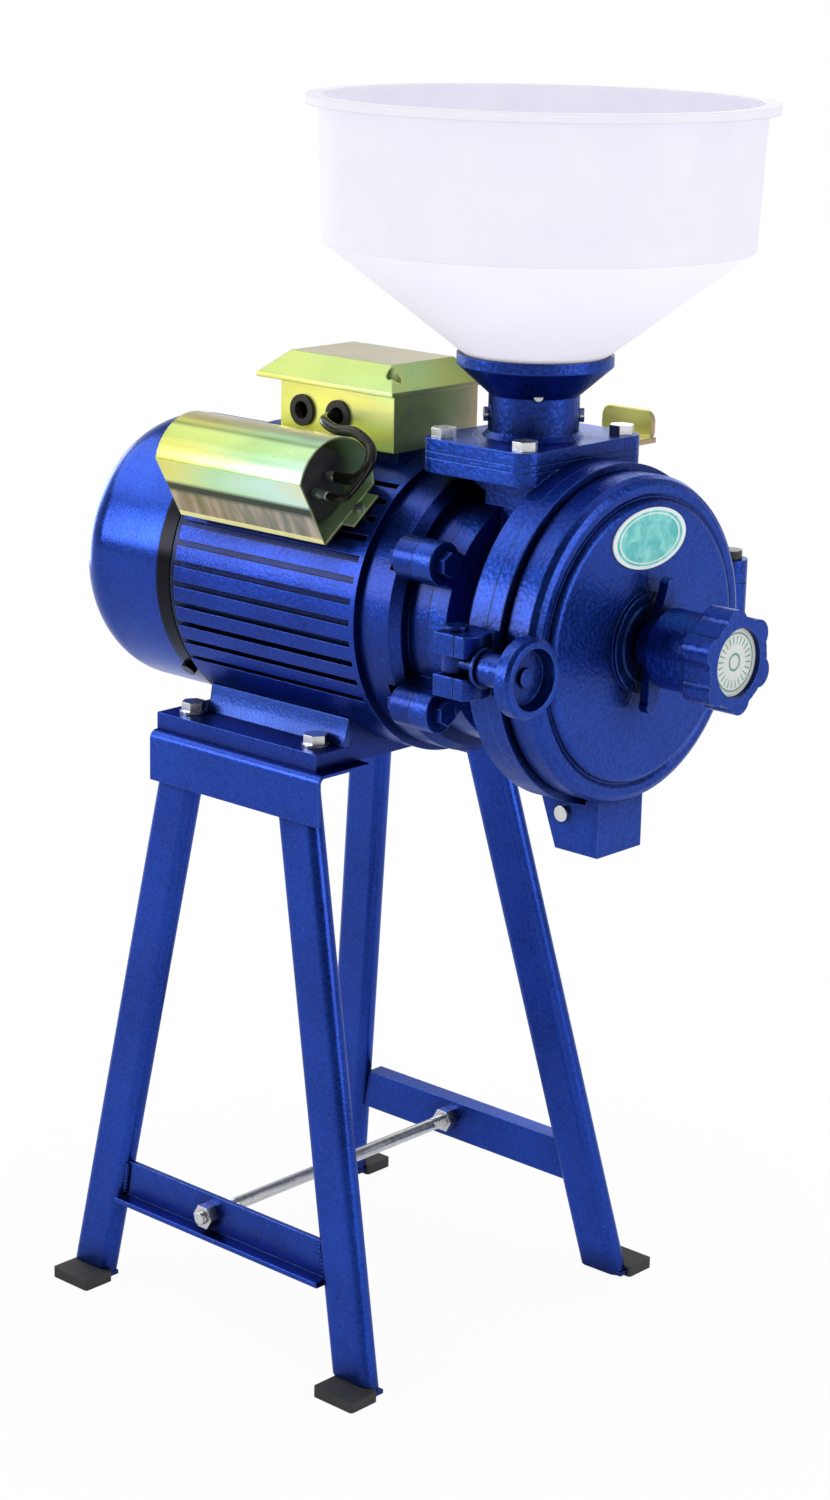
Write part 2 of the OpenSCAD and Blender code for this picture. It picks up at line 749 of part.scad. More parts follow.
module rear_end_shield() color(paint) placed() difference() {
    rear_x = frame_x0 - rear_shield_t;
    union() {
        bar_x(rear_x, frame_x0, frame_r - fin_depth);
        bar_x(bearing_rear_x - 4, frame_x0, rear_boss_r);
        // Four lugs that carry the fan cover
        intersection() {
            difference() {
                bar_x(fan_x1 - fan_lug_l, rear_x + cut, fan_cover_r - fan_sheet - run);
                bar_x(fan_x1 - fan_lug_l - cut, rear_x + 2 * cut, fan_cover_r - fan_sheet - 10);
            }
            union() for (a = [45 : 90 : 315]) translate([fan_x1 - fan_lug_l, 0, axis_z]) rotate([a, 0, 0])
                translate([0, 0, -8]) cube([fan_lug_l + fan_slot, fan_cover_r, 16]);
        }
    }
    bar_x(bearing_rear_x, frame_x0 + cut, bearing_od / 2 + run);
    bar_x(bearing_rear_x - 4 - cut, frame_x0, shaft_d / 2 + 1);
    fan_screw_rods(fan_screw_d / 2 + run);
}

// Radial rods on the lines of the fan cover's screws
module fan_screw_rods(r) {
    for (a = [45 : 90 : 315]) translate([fan_x1 - fan_lug_l / 2, 0, axis_z]) rotate([a, 0, 0])
        translate([0, fan_cover_r - fan_sheet - 8, 0]) rotate([-90, 0, 0])
            cylinder(h = 8 + fan_sheet + cut, r = r);
}

module fan_cover_screws() color(steel) placed() {
    fan_screw_rods(fan_screw_d / 2);
    for (a = [45 : 90 : 315]) translate([fan_x1 - fan_lug_l / 2, 0, axis_z]) rotate([a, 0, 0])
        translate([0, fan_cover_r + run, 0]) rotate([-90, 0, 0]) cylinder(h = 3, d = fan_screw_d * 1.9);
}

module stator_core() color("dimgray") placed() difference() {
    bar_x(rotor_mid_x - stator_l / 2, rotor_mid_x + stator_l / 2, stator_r);
    bar_x(rotor_mid_x - stator_l, rotor_mid_x + stator_l, rotor_r + air_gap);
}

module stator_windings() color("peru") placed()
    for (side = [0, 1]) translate([rotor_mid_x, 0, 0]) mirror([side, 0, 0]) turned()
        translate([rotor_r + 3, stator_l / 2]) square([winding_r - rotor_r - 3, winding_l]);

module bearing(x) color(steel) placed() difference() {
    bar_x(x, x + bearing_w, bearing_od / 2);
    bar_x(x - cut, x + bearing_w + cut, bearing_bore / 2 + run);
}

module front_bearing() bearing(bearing_front_x);
module rear_bearing() bearing(bearing_rear_x);

// A drawn sheet bowl with two rings of slots in its back
module fan_cover() color(paint) placed() difference() {
    turned() difference() {
        bowl(fan_cover_r, fan_x0, fan_x1, fan_round);
        bowl(fan_cover_r - fan_sheet, fan_x0 + fan_sheet, fan_x1 + cut, fan_round - fan_sheet);
    }
    for (i = [0 : grille_slots - 1], r = grille_r * [0.43, 0.75])
        translate([fan_x0 - cut, 0, axis_z]) rotate([i * 360 / grille_slots, 0, 0])
            translate([0, r, -grille_slot_w / 2]) cube([fan_sheet + 2 * cut, grille_r * 0.24, grille_slot_w]);
    fan_screw_rods(fan_screw_d / 2 + run);
}

// Half outline of a bowl with a rounded back
module bowl(r, x0, x1, round) {
    translate([0, x0]) square([r - round, x1 - x0]);
    translate([0, x0 + round]) square([r, x1 - x0 - round]);
    translate([r - round, x0 + round]) circle(round);
}

module flange_bolts() color(steel) placed() for (e = ears_at) {
    bolt_x1 = adapter_x + body_flange_t;
    bar_x(shield_x - flange_bolt_d, bolt_x1 + 1, flange_bolt_d / 2, e[0], e[1]);
    bar_x(bolt_x1, bolt_x1 + ear_bolt_head, flange_bolt_d * 0.9, e[0], e[1], 6);
    difference() {
        bar_x(shield_x - flange_bolt_d * 0.8, shield_x, flange_bolt_d * 0.9, e[0], e[1], 6);
        bar_x(shield_x - flange_bolt_d - cut, shield_x + cut, flange_bolt_d / 2 + run, e[0], e[1]);
    }
}

// Stepped shaft with a six-sided end that drives the moving disc
module motor_shaft() color(steel) placed() {
    bar_x(fan_hub_x - 2, bearing_rear_x, shaft_d / 2 - 2);
    bar_x(bearing_rear_x, bearing_front_x + bearing_w, bearing_bore / 2);
    bar_x(bearing_rear_x + bearing_w + clear, bearing_front_x - clear, bearing_bore / 2 + 2.5);
    bar_x(bearing_front_x + bearing_w, auger_x1, shaft_d / 2);
    bar_x(auger_x1, shaft_tip_x, hex_r, 0, 0, 6);
}

module rotor_core() color("gray") placed() difference() {
    bar_x(rotor_mid_x - stator_l / 2, rotor_mid_x + stator_l / 2, rotor_r);
    bar_x(rotor_mid_x - stator_l, rotor_mid_x + stator_l, bearing_bore / 2 + 2.5 + run);
}

module cooling_fan() color("black") placed() difference() {
    union() {
        bar_x(fan_hub_x, fan_hub_x + fan_hub_l, fan_hub_r);
        bar_x(fan_hub_x + fan_hub_l - 3, fan_hub_x + fan_hub_l, fan_r);
        for (i = [0 : fan_blades - 1]) translate([fan_hub_x, 0, axis_z])
            rotate([i * 360 / fan_blades, 0, 0])
                translate([2, fan_hub_r - 2, -1.5]) cube([fan_hub_l - 4, fan_r - fan_hub_r, 3]);
    }
    bar_x(fan_hub_x - cut, fan_hub_x + fan_hub_l + cut, shaft_d / 2 - 2 + run);
}

// One flight wound round a sleeve on the shaft
module feed_auger() color("gray") placed() difference() {
    length = auger_x1 - auger_x0;
    flight_arc = 70;
    union() {
        bar_x(auger_x0, auger_x1, auger_hub_r);
        translate([auger_x0, 0, axis_z]) rotate([0, 90, 0])
            linear_extrude(length, twist = -360 * length / auger_pitch, slices = 30, $fn = 6)
                polygon([
                    [0, 0],
                    for (i = [0 : 5]) auger_r * [cos(i * flight_arc / 5), sin(i * flight_arc / 5)]
                ]);
    }
    bar_x(auger_x0 - cut, auger_x1 + cut, shaft_d / 2 + run);
}

// Electrics

module terminal_box() color(zinc) placed() difference() {
    block(box_x0, box_x0 + box_l, box_w, box_z, box_top);
    difference() {
        block(box_x0 + sheet_t, box_x0 + box_l - sheet_t, box_w - 2 * sheet_t,
            box_z + sheet_t, box_top + cut);
        for (p = lid_screws_at) translate([p[0], p[1], box_z]) cylinder(h = box_h, d = lid_screw_d * 2.2);
    }
    grommet_rods(grommet_r + run);
    for (p = lid_screws_at) translate([p[0], p[1], box_top - lid_screw_l - 2])
        cylinder(h = lid_screw_l + 2 + cut, r = lid_screw_d / 2 + run);
}

// The lid's screws stand on two opposite corners
lid_screws_at = [for (s = [-1, 1]) [box_mid_x + s * (box_l / 2 - 6), -s * (box_w / 2 - 6)]];

// Rods through the box's near wall on the lines of the two grommets
module grommet_rods(r) {
    for (s = [0, 1]) translate([grommet_x + (s - 0.5) * grommet_step, -box_w / 2 + 4, grommet_z])
        rotate([90, 0, 0]) cylinder(h = 8, r = r);
}

// A block whose four sides lean in by the same bevel
module frustum(mid_x, l, w, h, bevel) intersection() {
    translate([mid_x, 0, 0]) side_plate(w) polygon([
        [-l / 2, 0], [l / 2, 0], [l / 2 - bevel, h], [bevel - l / 2, h]
    ]);
    drawn_x(mid_x - l / 2, mid_x + l / 2) polygon([
        [-w / 2, 0], [w / 2, 0], [w / 2 - bevel, h], [bevel - w / 2, h]
    ]);
}

module terminal_box_lid() color(zinc) placed() difference() {
    lid_l = box_l + 2 * lid_over_x;
    lid_w = box_w + 2 * lid_over_y;
    union() {
        block(lid_mid_x - lid_l / 2, lid_mid_x + lid_l / 2, lid_w, box_top, box_top + sheet_t * 2);
        translate([0, 0, box_top + sheet_t * 2]) frustum(lid_mid_x, lid_l, lid_w, lid_rise, lid_bevel);
    }
    translate([0, 0, box_top - sheet_t])
        frustum(box_mid_x, lid_l - lid_bevel * 3, lid_w - lid_bevel * 2, lid_rise, 4);
    for (p = lid_screws_at) translate([p[0], p[1], box_top - cut]) {
        cylinder(h = lid_rise * 2, r = lid_screw_d / 2 + run);
        translate([0, 0, cut + lid_seat]) cylinder(h = lid_rise * 2, r = lid_screw_d + seat);
    }
}

module lid_screws() color(steel) placed() for (p = lid_screws_at) translate([p[0], p[1], box_top]) {
    translate([0, 0, -lid_screw_l]) cylinder(h = lid_screw_l + lid_seat + 1, d = lid_screw_d);
    translate([0, 0, lid_seat]) cylinder(h = lid_head_h, r = lid_screw_d);
}

// Black bushes in the box's near wall, with a lip on both sides of the sheet
module cable_grommets() color(rubber) placed()
    for (s = [0, 1]) translate([grommet_x + (s - 0.5) * grommet_step, -box_w / 2 + sheet_t / 2, grommet_z])
        rotate([90, 0, 0]) rotate_extrude() polygon([
            [lead_d, -sheet_t / 2 - 2], [grommet_r + 2, -sheet_t / 2 - 2], [grommet_r + 2, -sheet_t / 2],
            [grommet_r, -sheet_t / 2], [grommet_r, sheet_t / 2], [grommet_r + 2, sheet_t / 2],
            [grommet_r + 2, sheet_t / 2 + 2], [lead_d, sheet_t / 2 + 2]
        ]);

// Turns a piece drawn above the shaft down the near flank to the capacitor's place
module at_capacitor()
    translate([0, 0, axis_z]) rotate([cap_turn, 0, 0]) translate([0, 0, -axis_z]) children();

module run_capacitor() color("black") placed() at_capacitor() {
    bar_x(cap_x0, cap_x0 + cap_l, cap_r, cap_y, cap_up);
    for (s = [-1, 1])
        bar_x(cap_x0 + cap_l - 1, cap_x0 + cap_l + 6, lead_d / 2, cap_y + s * cap_post_y, cap_up);
}

// The cover's section between two stations: round top, flat near side, flat floor, all moved in by wall
module cap_section(x0, x1, wall, floor_t) difference() {
    bar_x(x0, x1, cap_cover_r - wall, cap_y, cap_cover_up);
    block(x0 - cut, x1 + cut, 4 * cap_cover_r, axis_z, axis_z + cap_floor + floor_t, cap_y);
    translate([0, cap_y, axis_z + cap_cover_up]) rotate([-cap_panel_lean, 0, 0])
        block(x0 - cut, x1 + cut, cap_cover_r, -2 * cap_cover_r, 2 * cap_cover_r,
            wall - cap_panel - cap_cover_r / 2);
}

// A sheet bent round the capacitor into a closed sleeve, its floor drawn out into a tab at both ends
module capacitor_cover() color(zinc) placed() at_capacitor() difference() {
    union() {
        cap_section(cap_cover_x0, cap_cover_x1, 0, 0);
        block(cap_cover_x0 - cap_tab, cap_cover_x1 + cap_tab, cap_tab_w,
            axis_z + cap_floor, axis_z + cap_floor + sheet_t, cap_tab_y);
    }
    cap_section(cap_cover_x0 - cut, cap_cover_x1 + cut, sheet_t, cap_floor_t);
    cap_screw_rods(cap_screw_d / 2 + run, cut);
}

// Rods through the tabs of the capacitor cover, drawn above the shaft, reaching on above the tab
module cap_screw_rods(r, over) {
    depth = 8;
    for (x = [cap_cover_x0 - cap_tab / 2, cap_cover_x1 + cap_tab / 2])
        translate([x, cap_tab_y, axis_z + cap_floor - depth]) cylinder(h = depth + sheet_t + over, r = r);
}

module cap_screw_holes(r) at_capacitor() cap_screw_rods(r, cut);

module capacitor_screws() color(steel) placed() at_capacitor() {
    head_h = 2.2;
    cap_screw_rods(cap_screw_d / 2, head_h / 2);
    for (x = [cap_cover_x0 - cap_tab / 2, cap_cover_x1 + cap_tab / 2])
        translate([x, cap_tab_y, axis_z + cap_floor + sheet_t]) cylinder(h = head_h, r = cap_screw_d * 0.8);
}

// Leads from the grommet to the capacitor: points chosen by hand, from the grommet's middle
lead_ends = [grommet_x + grommet_step / 2, -box_w / 2 + 1, grommet_z];
cap_end_y = cap_y + cap_post_y;
lead_end = [
    cap_x0 + cap_l + 6.5, cap_end_y * cos(cap_turn) - cap_up * sin(cap_turn),
    axis_z + cap_end_y * sin(cap_turn) + cap_up * cos(cap_turn)
];
// Where the leads pass over the capacitor cover, as a reach from the cover's middle line
lead_reach = cap_cover_r + lead_d + 1.5;
lead_over = [
    lead_ends[0] + 20,
    cap_y * cos(cap_turn) - cap_cover_up * sin(cap_turn) + lead_reach * 0.62,
    axis_z + cap_y * sin(cap_turn) + cap_cover_up * cos(cap_turn) + lead_reach * 0.785
];
lead_points = [
    lead_ends, lead_ends + [0, -10, 0], lead_ends + [6, -18, -1], lead_over,
    lead_end + [-2, 18, 22], lead_end + [12, 14.5, 16], lead_end + [18, 7, 8], lead_end + [15, 1, 1],
    lead_end + [7, 0, 0], lead_end
];

// A point on the smooth curve through four route points, t from the second to the third
function spline(a, b, c, d, t) =
    0.5 * (2 * b + t * (c - a) + t * t * (2 * a - 5 * b + 4 * c - d) + t * t * t * (3 * b - a - 3 * c + d));
function route_point(p, i) = p[max(0, min(len(p) - 1, i))];
function smooth(p, steps) = [
    for (i = [0 : len(p) - 2], s = [0 : steps - 1])
        spline(route_point(p, i - 1), p[i], p[i + 1], route_point(p, i + 2), s / steps),
    p[len(p) - 1]
];
function unit(v) = v / norm(v);
function heading(q, i) = unit(route_point(q, i + 1) - route_point(q, i - 1));

// A tube of the given sides swept along a list of points
module swept(q, r, sides) {
    up = [0, 0, 1];
    pts = [
        for (i = [0 : len(q) - 1])
            let (h = heading(q, i), u = unit(cross(h, abs(h[2]) > 0.9 ? [1, 0, 0] : up)), v = cross(u, h))
                for (k = [0 : sides - 1]) q[i] + r * (u * cos(360 * k / sides) + v * sin(360 * k / sides))
    ];
    walls = [
        for (i = [0 : len(q) - 2], k = [0 : sides - 1])
            let (a = i * sides + k, b = i * sides + (k + 1) % sides)
                each [[a, b, b + sides], [a, b + sides, a + sides]]
    ];
    first = [for (k = [1 : sides - 2]) [0, k + 1, k]];
    n = (len(q) - 1) * sides;
    last = [for (k = [1 : sides - 2]) [n, n + k, n + k + 1]];
    polyhedron(pts, concat(walls, first, last));
}

module capacitor_leads() color("black") placed() swept(smooth(lead_points, 3), lead_d / 2, 8);

// Mill head

// A knuckle of the hinge and the web that joins it to the drum
module knuckle(z0, z1, web_x0, web_x1) {
    translate([hinge_x, hinge_y, axis_z + z0]) cylinder(h = z1 - z0, r = knuckle_r);
    translate([web_x0, rim_r - 3, axis_z + z0]) cube([web_x1 - web_x0, hinge_y - rim_r + 3, z1 - z0]);
}

// A lug with a slot, open outwards, for the swing bolt
module forked_lug(x0, x1) difference() {
    translate([x0, -clamp_y - lug_out, axis_z - lug_h / 2])
        cube([x1 - x0, clamp_y + lug_out - rim_r + 3, lug_h]);
    translate([x0 - cut, -clamp_y - lug_out - cut, axis_z - slot_h / 2])
        cube([x1 - x0 + 2 * cut, lug_out + slot_in + cut, slot_h]);
}

// A vertical rod through the swing bolt's pivot
module pivot_rod(r, h) translate([pivot_x, -clamp_y, axis_z - h / 2]) cylinder(h = h, r = r);

// A vertical rod through the hinge
module hinge_rod(r) {
    half = knuckle_mid / 2 + knuckle_end;
    translate([hinge_x, hinge_y, axis_z - half - cut]) cylinder(h = 2 * half + 2 * cut, r = r);
}

// Rods on the lines of the fixed disc's screws
module disc_screw_rods(x0, x1, r) {
    for (a = [0 : 120 : 240]) bar_x(x0, x1, r, disc_screw_r * sin(a), disc_screw_r * cos(a));
}

module mill_body() color(paint) placed() difference() {
    flange_x1 = adapter_x + body_flange_t;
    duct_z0 = axis_z + auger_bore - 6;
    flange_z0 = flange_top_z - top_flange_t;
    union() {
        turned() polygon([
            [0, adapter_x], [flange_r, adapter_x], [flange_r, flange_x1], [neck_r, flange_x1],
            [neck_r, drum_x - 6], [neck_r + 6, drum_x], [drum_r - 4, drum_x], [drum_r, drum_x + 4],
            [drum_r, joint_x], [0, joint_x]
        ]);
        flange_ears(adapter_x, flange_x1);
        // Feed duct, wider at the top where it overhangs the motor's flange
        side_plate(duct_w) polygon([
            [adapter_x + 1, duct_z0], [drum_x + 2, duct_z0], [drum_x + 2, flange_z0 + 1],
            [-tube_bore - 5, flange_z0 + 1], [-tube_bore - 5, flange_z0 - 2],
            [adapter_x + 1, axis_z + flange_r + 1]
        ]);
        translate([0, 0, flange_z0]) linear_extrude(top_flange_t)
            rounded(throat_l, throat_w, throat_corner);
        for (s = [0, 1]) mirror([0, 0, s]) translate([0, 0, -2 * s * axis_z])
            knuckle(knuckle_mid / 2 + clear, knuckle_mid / 2 + knuckle_end, drum_x + 2, joint_x - clear);
        forked_lug(drum_x + 2, joint_x - clear);
        for (s = [-1, 1]) translate([0, s * (chute_w / 2 - chute_wall - seat - chute_lug_t / 2), 0])
            block(chute_screw_x - 4, joint_x - clear, chute_lug_t, chute_screw_z - 5, axis_z - drum_r + 6);
    }
    bar_x(adapter_x - cut, adapter_x + 9, shaft_d / 2 + 1);
    bar_x(auger_x0 - 2, joint_x + cut, auger_bore);
    bar_x(back_x, joint_x + cut, chamber_r);
    // Feed passage down to the auger
    translate([0, 0, flange_z0]) cylinder(h = top_flange_t + cut, r = tube_bore);
    side_plate(2 * tube_bore - 2) polygon([
        [auger_x0 - 1, axis_z], [tube_bore - 1, axis_z], [tube_bore - 1, flange_z0 + cut],
        [1 - tube_bore, flange_z0 + cut], [1 - tube_bore, flange_z0 - 2],
        [auger_x0 - 1, axis_z + flange_r + 4]
    ]);
    // Flat on the drum's top under the gate guide
    block(drum_x - cut, throat_l / 2 + cut, throat_w + cut, flange_top_z, axis_z + drum_r + cut);
    // Way out to the chute
    block(back_x + 2, joint_x + cut, chute_w - 2 * (chute_wall + chute_lug_t + 1),
        axis_z - drum_r - cut, axis_z - chamber_r + 4);
    ear_holes();
    throat_bolt_rods(flange_z0 - cut, flange_top_z + cut, throat_bolt_d / 2 + run);
    hinge_rod(hinge_pin_d / 2 + run);
    pivot_rod(pin_d / 2 + run, lug_h + cut);
    disc_screw_rods(drum_x + 2, back_x + cut, disc_screw_d / 2 + run);
    chute_screw_rods(chute_screw_d / 2 + run);
}

module mill_cover() color(paint) placed() difference() {
    flange_x1 = joint_x + cover_flange_t;
    rim_x1 = joint_x + rim_l;
    union() {
        turned() polygon([
            [0, joint_x], [drum_r, joint_x], [drum_r, flange_x1], [drum_r - groove_depth - 4, flange_x1],
            [drum_r - groove_depth - 4, flange_x1 + 2], [rim_r, flange_x1 + 2], [rim_r, rim_x1 - 5],
            [rim_r - 2, rim_x1 - 1.5], [rim_r - 5, rim_x1], [face_r + 2, rim_x1], [face_r, rim_x1 - 1],
            for (a = [0 : 15 : 90]) [
                face_r - 1 - face_round * (1 - cos(a)), cover_front_x - face_round * (1 - sin(a))
            ],
            [boss_r, cover_front_x],
            [boss_r, boss_x - 1], [boss_r - 6, boss_x - 1], [boss_r - 6, boss_x], [0, boss_x]
        ]);
        knuckle(-knuckle_mid / 2, knuckle_mid / 2, joint_x + clear, flange_x1);
        // The forked lug's front is rounded about the swing bolt's pivot
        intersection() {
            forked_lug(joint_x + clear, seat_x + cut);
            translate([pivot_x, -clamp_y, axis_z - lug_h]) cylinder(h = 2 * lug_h, r = seat_r, $fn = 96);
        }
        intersection() {
            forked_lug(joint_x + clear, flange_x1);
            block(joint_x, flange_x1, 2 * (clamp_y - slot_in), axis_z - lug_h, axis_z + lug_h);
        }
    }
    bar_x(joint_x - cut, cover_front_x - face_wall, chamber_r - 2);
    bar_x(joint_x, boss_x + cut, screw_d / 2 + run);
    block(joint_x - cut, chute_x - chute_wall, chute_w - 2 * chute_wall,
        axis_z - drum_r - cut, axis_z - chamber_r + 6);
    hinge_rod(hinge_pin_d / 2 + run);
}

// A grinding disc between two stations, its furrows cut into the given face
module grinding_disc(x0, hole_r, face_x) difference() {
    furrow_d = 3;
    bar_x(x0, x0 + disc_t, disc_r);
    bar_x(x0 - cut, x0 + disc_t + cut, hole_r);
    for (i = [0 : furrows - 1]) translate([face_x, 0, axis_z]) rotate([i * 360 / furrows, 0, 0])
        translate([-furrow_d, disc_hole_r - 4, 3])
            cube([2 * furrow_d, disc_r - disc_hole_r - 4, 3]);
}

module fixed_disc() color("gray") placed() difference() {
    grinding_disc(disc_x, disc_hole_r, joint_x);
    disc_screw_rods(disc_x - cut, joint_x + cut, disc_screw_d / 2 + seat);
    disc_screw_rods(joint_x - 5, joint_x + cut, disc_screw_d * 0.9);
}

module disc_screws() color(steel) placed() {
    disc_screw_rods(drum_x + 3, joint_x - 4, disc_screw_d / 2);
    disc_screw_rods(joint_x - 5, joint_x - 2, disc_screw_d * 0.85);
}

module moving_disc() color("gray") placed() grinding_disc(moving_x, hub_r + run, moving_x);

// Plate and hub that carry the moving disc along the shaft's six-sided end
module disc_carrier() color("slategray") placed() difference() {
    union() {
        bar_x(hub_x0, hub_x1, hub_r);
        bar_x(carrier_x, carrier_x + carrier_t, carrier_r);
    }
    bar_x(hub_x0 - cut, hub_bore_x, hex_r + run, 0, 0, 6);
    translate([ball_x, 0, axis_z]) sphere(d = ball_d + 2 * ball_gap);
}

// A helix of round wire between the auger and the carrier's hub
module disc_spring() color(steel) placed() {
    x0 = auger_x1 + spring_wire / 2 + clear;
    x1 = hub_x0 - spring_wire / 2 - clear;
    steps = 12 * spring_turns;
    swept([
        for (i = [0 : steps])
            [x0 + (x1 - x0) * i / steps, spring_r * cos(i * 30), axis_z + spring_r * sin(i * 30)]
    ], spring_wire / 2, 6);
}

module thrust_ball() color(steel) placed() translate([ball_x, 0, axis_z]) sphere(d = ball_d);

module adjusting_screw() color(steel) placed() {
    bar_x(screw_x0, skirt_x + 12, screw_d / 2);
    bar_x(skirt_x + 12, knob_x1 - knob_floor - 5, screw_step_r);
}

// Two tapered arms on a round hub
module wing_lock_nut() color("navy") placed() difference() {
    wing_tip = wing_span / 2 - wing_w / 2;
    wing_tilt = 12;
    union() {
        bar_x(wing_x, wing_x + wing_t, screw_d / 2 + 5);
        translate([wing_x + 0.5, 0, axis_z]) rotate([-wing_tilt, 0, 0]) rotate([0, 90, 0])
        linear_extrude(wing_t - 1) {
            for (s = [-1, 1]) translate([s * wing_tip, 0]) circle(d = wing_w);
            polygon([
                [wing_tip, wing_w / 2 - 0.6], [0, wing_w / 2 + 5], [-wing_tip, wing_w / 2 - 0.6],
                [-wing_tip, 0.6 - wing_w / 2], [0, -wing_w / 2 - 5], [wing_tip, 0.6 - wing_w / 2]
            ]);
        }
    }
    bar_x(wing_x - cut, wing_x + wing_t + cut, screw_d / 2 + run);
}

// Six lobes in front of a round skirt that hides the end of the thread
module adjusting_knob() color("navy") placed() difference() {
    lobe_r = 8.5;
    union() {
        turned() polygon([
            [0, skirt_x], [skirt_r - 2, skirt_x], [skirt_r, skirt_x + 2], [skirt_r, star_x], [0, star_x]
        ]);
        translate([star_x, 0, axis_z]) rotate([0, 90, 0]) linear_extrude(star_t) difference() {
            union() {
                circle(star_r - lobe_r / 2);
                for (a = [0 : 60 : 300]) rotate(a + 7) translate([star_r - lobe_r, 0]) circle(lobe_r);
            }
            for (a = [0 : 60 : 300]) rotate(a + 37) translate([star_r + 4, 0]) circle(lobe_r);
        }
    }
    bar_x(skirt_x - cut, skirt_x + 10, screw_d / 2 + 6);
    bar_x(skirt_x, skirt_x + 12, screw_d / 2 + run);
    bar_x(skirt_x, knob_x1 - knob_floor - 5, screw_step_r + run);
    bar_x(knob_x1 - knob_floor, knob_x1 + cut, knob_cap_r + seat);
}

module knob_cap() color("white") placed() bar_x(knob_x1 - knob_floor, knob_x1 - knob_floor + 2, knob_cap_r);

module hinge_pin() color("black") placed() {
    half = knuckle_mid / 2 + knuckle_end;
    hinge_rod(hinge_pin_d / 2);
    translate([hinge_x, hinge_y, axis_z + half]) cylinder(h = 5, d = hinge_pin_d * 1.7);
}

// Bolt with an eye on the pivot pin
module swing_bolt() color(steel) placed() difference() {
    union() {
        translate([pivot_x, -clamp_y, axis_z - swing_d / 2]) cylinder(h = swing_d, r = eye_r);
        bar_x(pivot_x + eye_r - 2, wheel_x + wheel_t - 5, swing_d / 2, -clamp_y);
    }
    pivot_rod(pin_d / 2 + run, lug_h);
}

module pivot_pin() color(steel) placed() {
    pivot_rod(pin_d / 2, lug_h + 2);
    translate([pivot_x, -clamp_y, axis_z + lug_h / 2]) cylinder(h = 2.5, d = pin_d * 1.5);
}

module clamp_washer() color(steel) placed() difference() {
    bar_x(seat_x + clamp_play, nut_x, 11, -clamp_y);
    bar_x(seat_x, nut_x + cut, swing_d / 2 + run, -clamp_y);
}

// A round hub with a dished wheel at its front
module hand_nut() color("navy") placed() translate([0, -clamp_y, 0]) difference() {
    turned() polygon([
        [0, nut_x + clear], [nut_hub_r, nut_x + clear], [nut_hub_r, wheel_x - 4], [wheel_r - 4, wheel_x],
        [wheel_r, wheel_x + 3], [wheel_r, wheel_x + wheel_t - 2], [wheel_r - 2, wheel_x + wheel_t],
        [wheel_r - 5, wheel_x + wheel_t], [wheel_r - 7, wheel_x + 5], [0, wheel_x + 5]
    ]);
    bar_x(nut_x, wheel_x + wheel_t, swing_d / 2 + run);
}

// Outlet

// A spout with a leaning back, hollow from the drum to its mouth
module outlet_chute() color(paint) placed() difference() {
    back = chute_x - chute_l;
    top = axis_z - drum_r;
    side_plate(chute_w) polygon([
        [back, chute_z0], [chute_x, chute_z0], [chute_x, top + 16], [drum_x, top + 16],
        [drum_x, top + 2], [drum_x - 4, top + 2]
    ]);
    side_plate(chute_w - 2 * chute_wall) polygon([
        [back + chute_wall, chute_z0 - cut], [chute_x - chute_wall, chute_z0 - cut],
        [chute_x - chute_wall, axis_z], [drum_x + chute_wall, axis_z], [drum_x + chute_wall, top]
    ]);
    bar_x(drum_x - cut, joint_x + cover_flange_t + 2 + seat, drum_r + seat);
    bar_x(joint_x, chute_x + cut, rim_r + seat);
    bar_x(drum_x - 20, drum_x + seat, neck_r);
    chute_screw_rods(chute_screw_d / 2 + run);
}

// Rods across the chute on the lines of its screws
module chute_screw_rods(r) {
    for (s = [0, 1]) mirror([0, s, 0])
        translate([chute_screw_x, -chute_w / 2, chute_screw_z]) rotate([-90, 0, 0])
            cylinder(h = chute_wall + chute_lug_t + seat, r = r);
}

module chute_screws() color(steel) placed() {
    chute_screw_rods(chute_screw_d / 2);
    for (s = [0, 1]) mirror([0, s, 0])
        translate([chute_screw_x, -chute_w / 2 - 2.5, chute_screw_z]) rotate([-90, 0, 0])
            cylinder(h = 2.5, d = chute_screw_d * 1.8);
}

// Feed

// Rods on the lines of the throat's bolts
module throat_bolt_rods(z0, z1, r) {
    for (p = throat_bolts_at) translate([p[0], p[1], z0]) cylinder(h = z1 - z0, r = r);
}

// Square flange, tube and flared cup in one casting
module feed_throat() color(paint) placed() difference() {
    union() {
        translate([0, 0, throat_z]) linear_extrude(throat_t) rounded(throat_l, throat_w, throat_corner);
        rotate_extrude() polygon([
            [0, throat_z], [tube_r + 3, throat_z], [tube_r + 3, tube_z], [tube_r, tube_z + 3],
            [tube_r, flare_z], [cup_r, cup_z], [cup_r, cup_top_z], [0, cup_top_z]
        ]);
    }
    rotate_extrude() polygon([
        [0, throat_z - cut], [tube_bore, throat_z - cut], [tube_bore, flare_z + 1.5],
        [cup_in_r, cup_z + 1.5], [cup_in_r, cup_top_z + cut], [0, cup_top_z + cut]
    ]);
    throat_bolt_rods(throat_z - cut, tube_z + cut, throat_bolt_d / 2 + seat);
    hopper_screw_rods(hopper_screw_d / 2 + run);
}

module throat_bolts() color(steel) placed() for (p = throat_bolts_at)
    translate([p[0], p[1], tube_z])
        bolt_down(throat_bolt_d, throat_t + guide_t + top_flange_t, throat_bolt_d * 0.65);

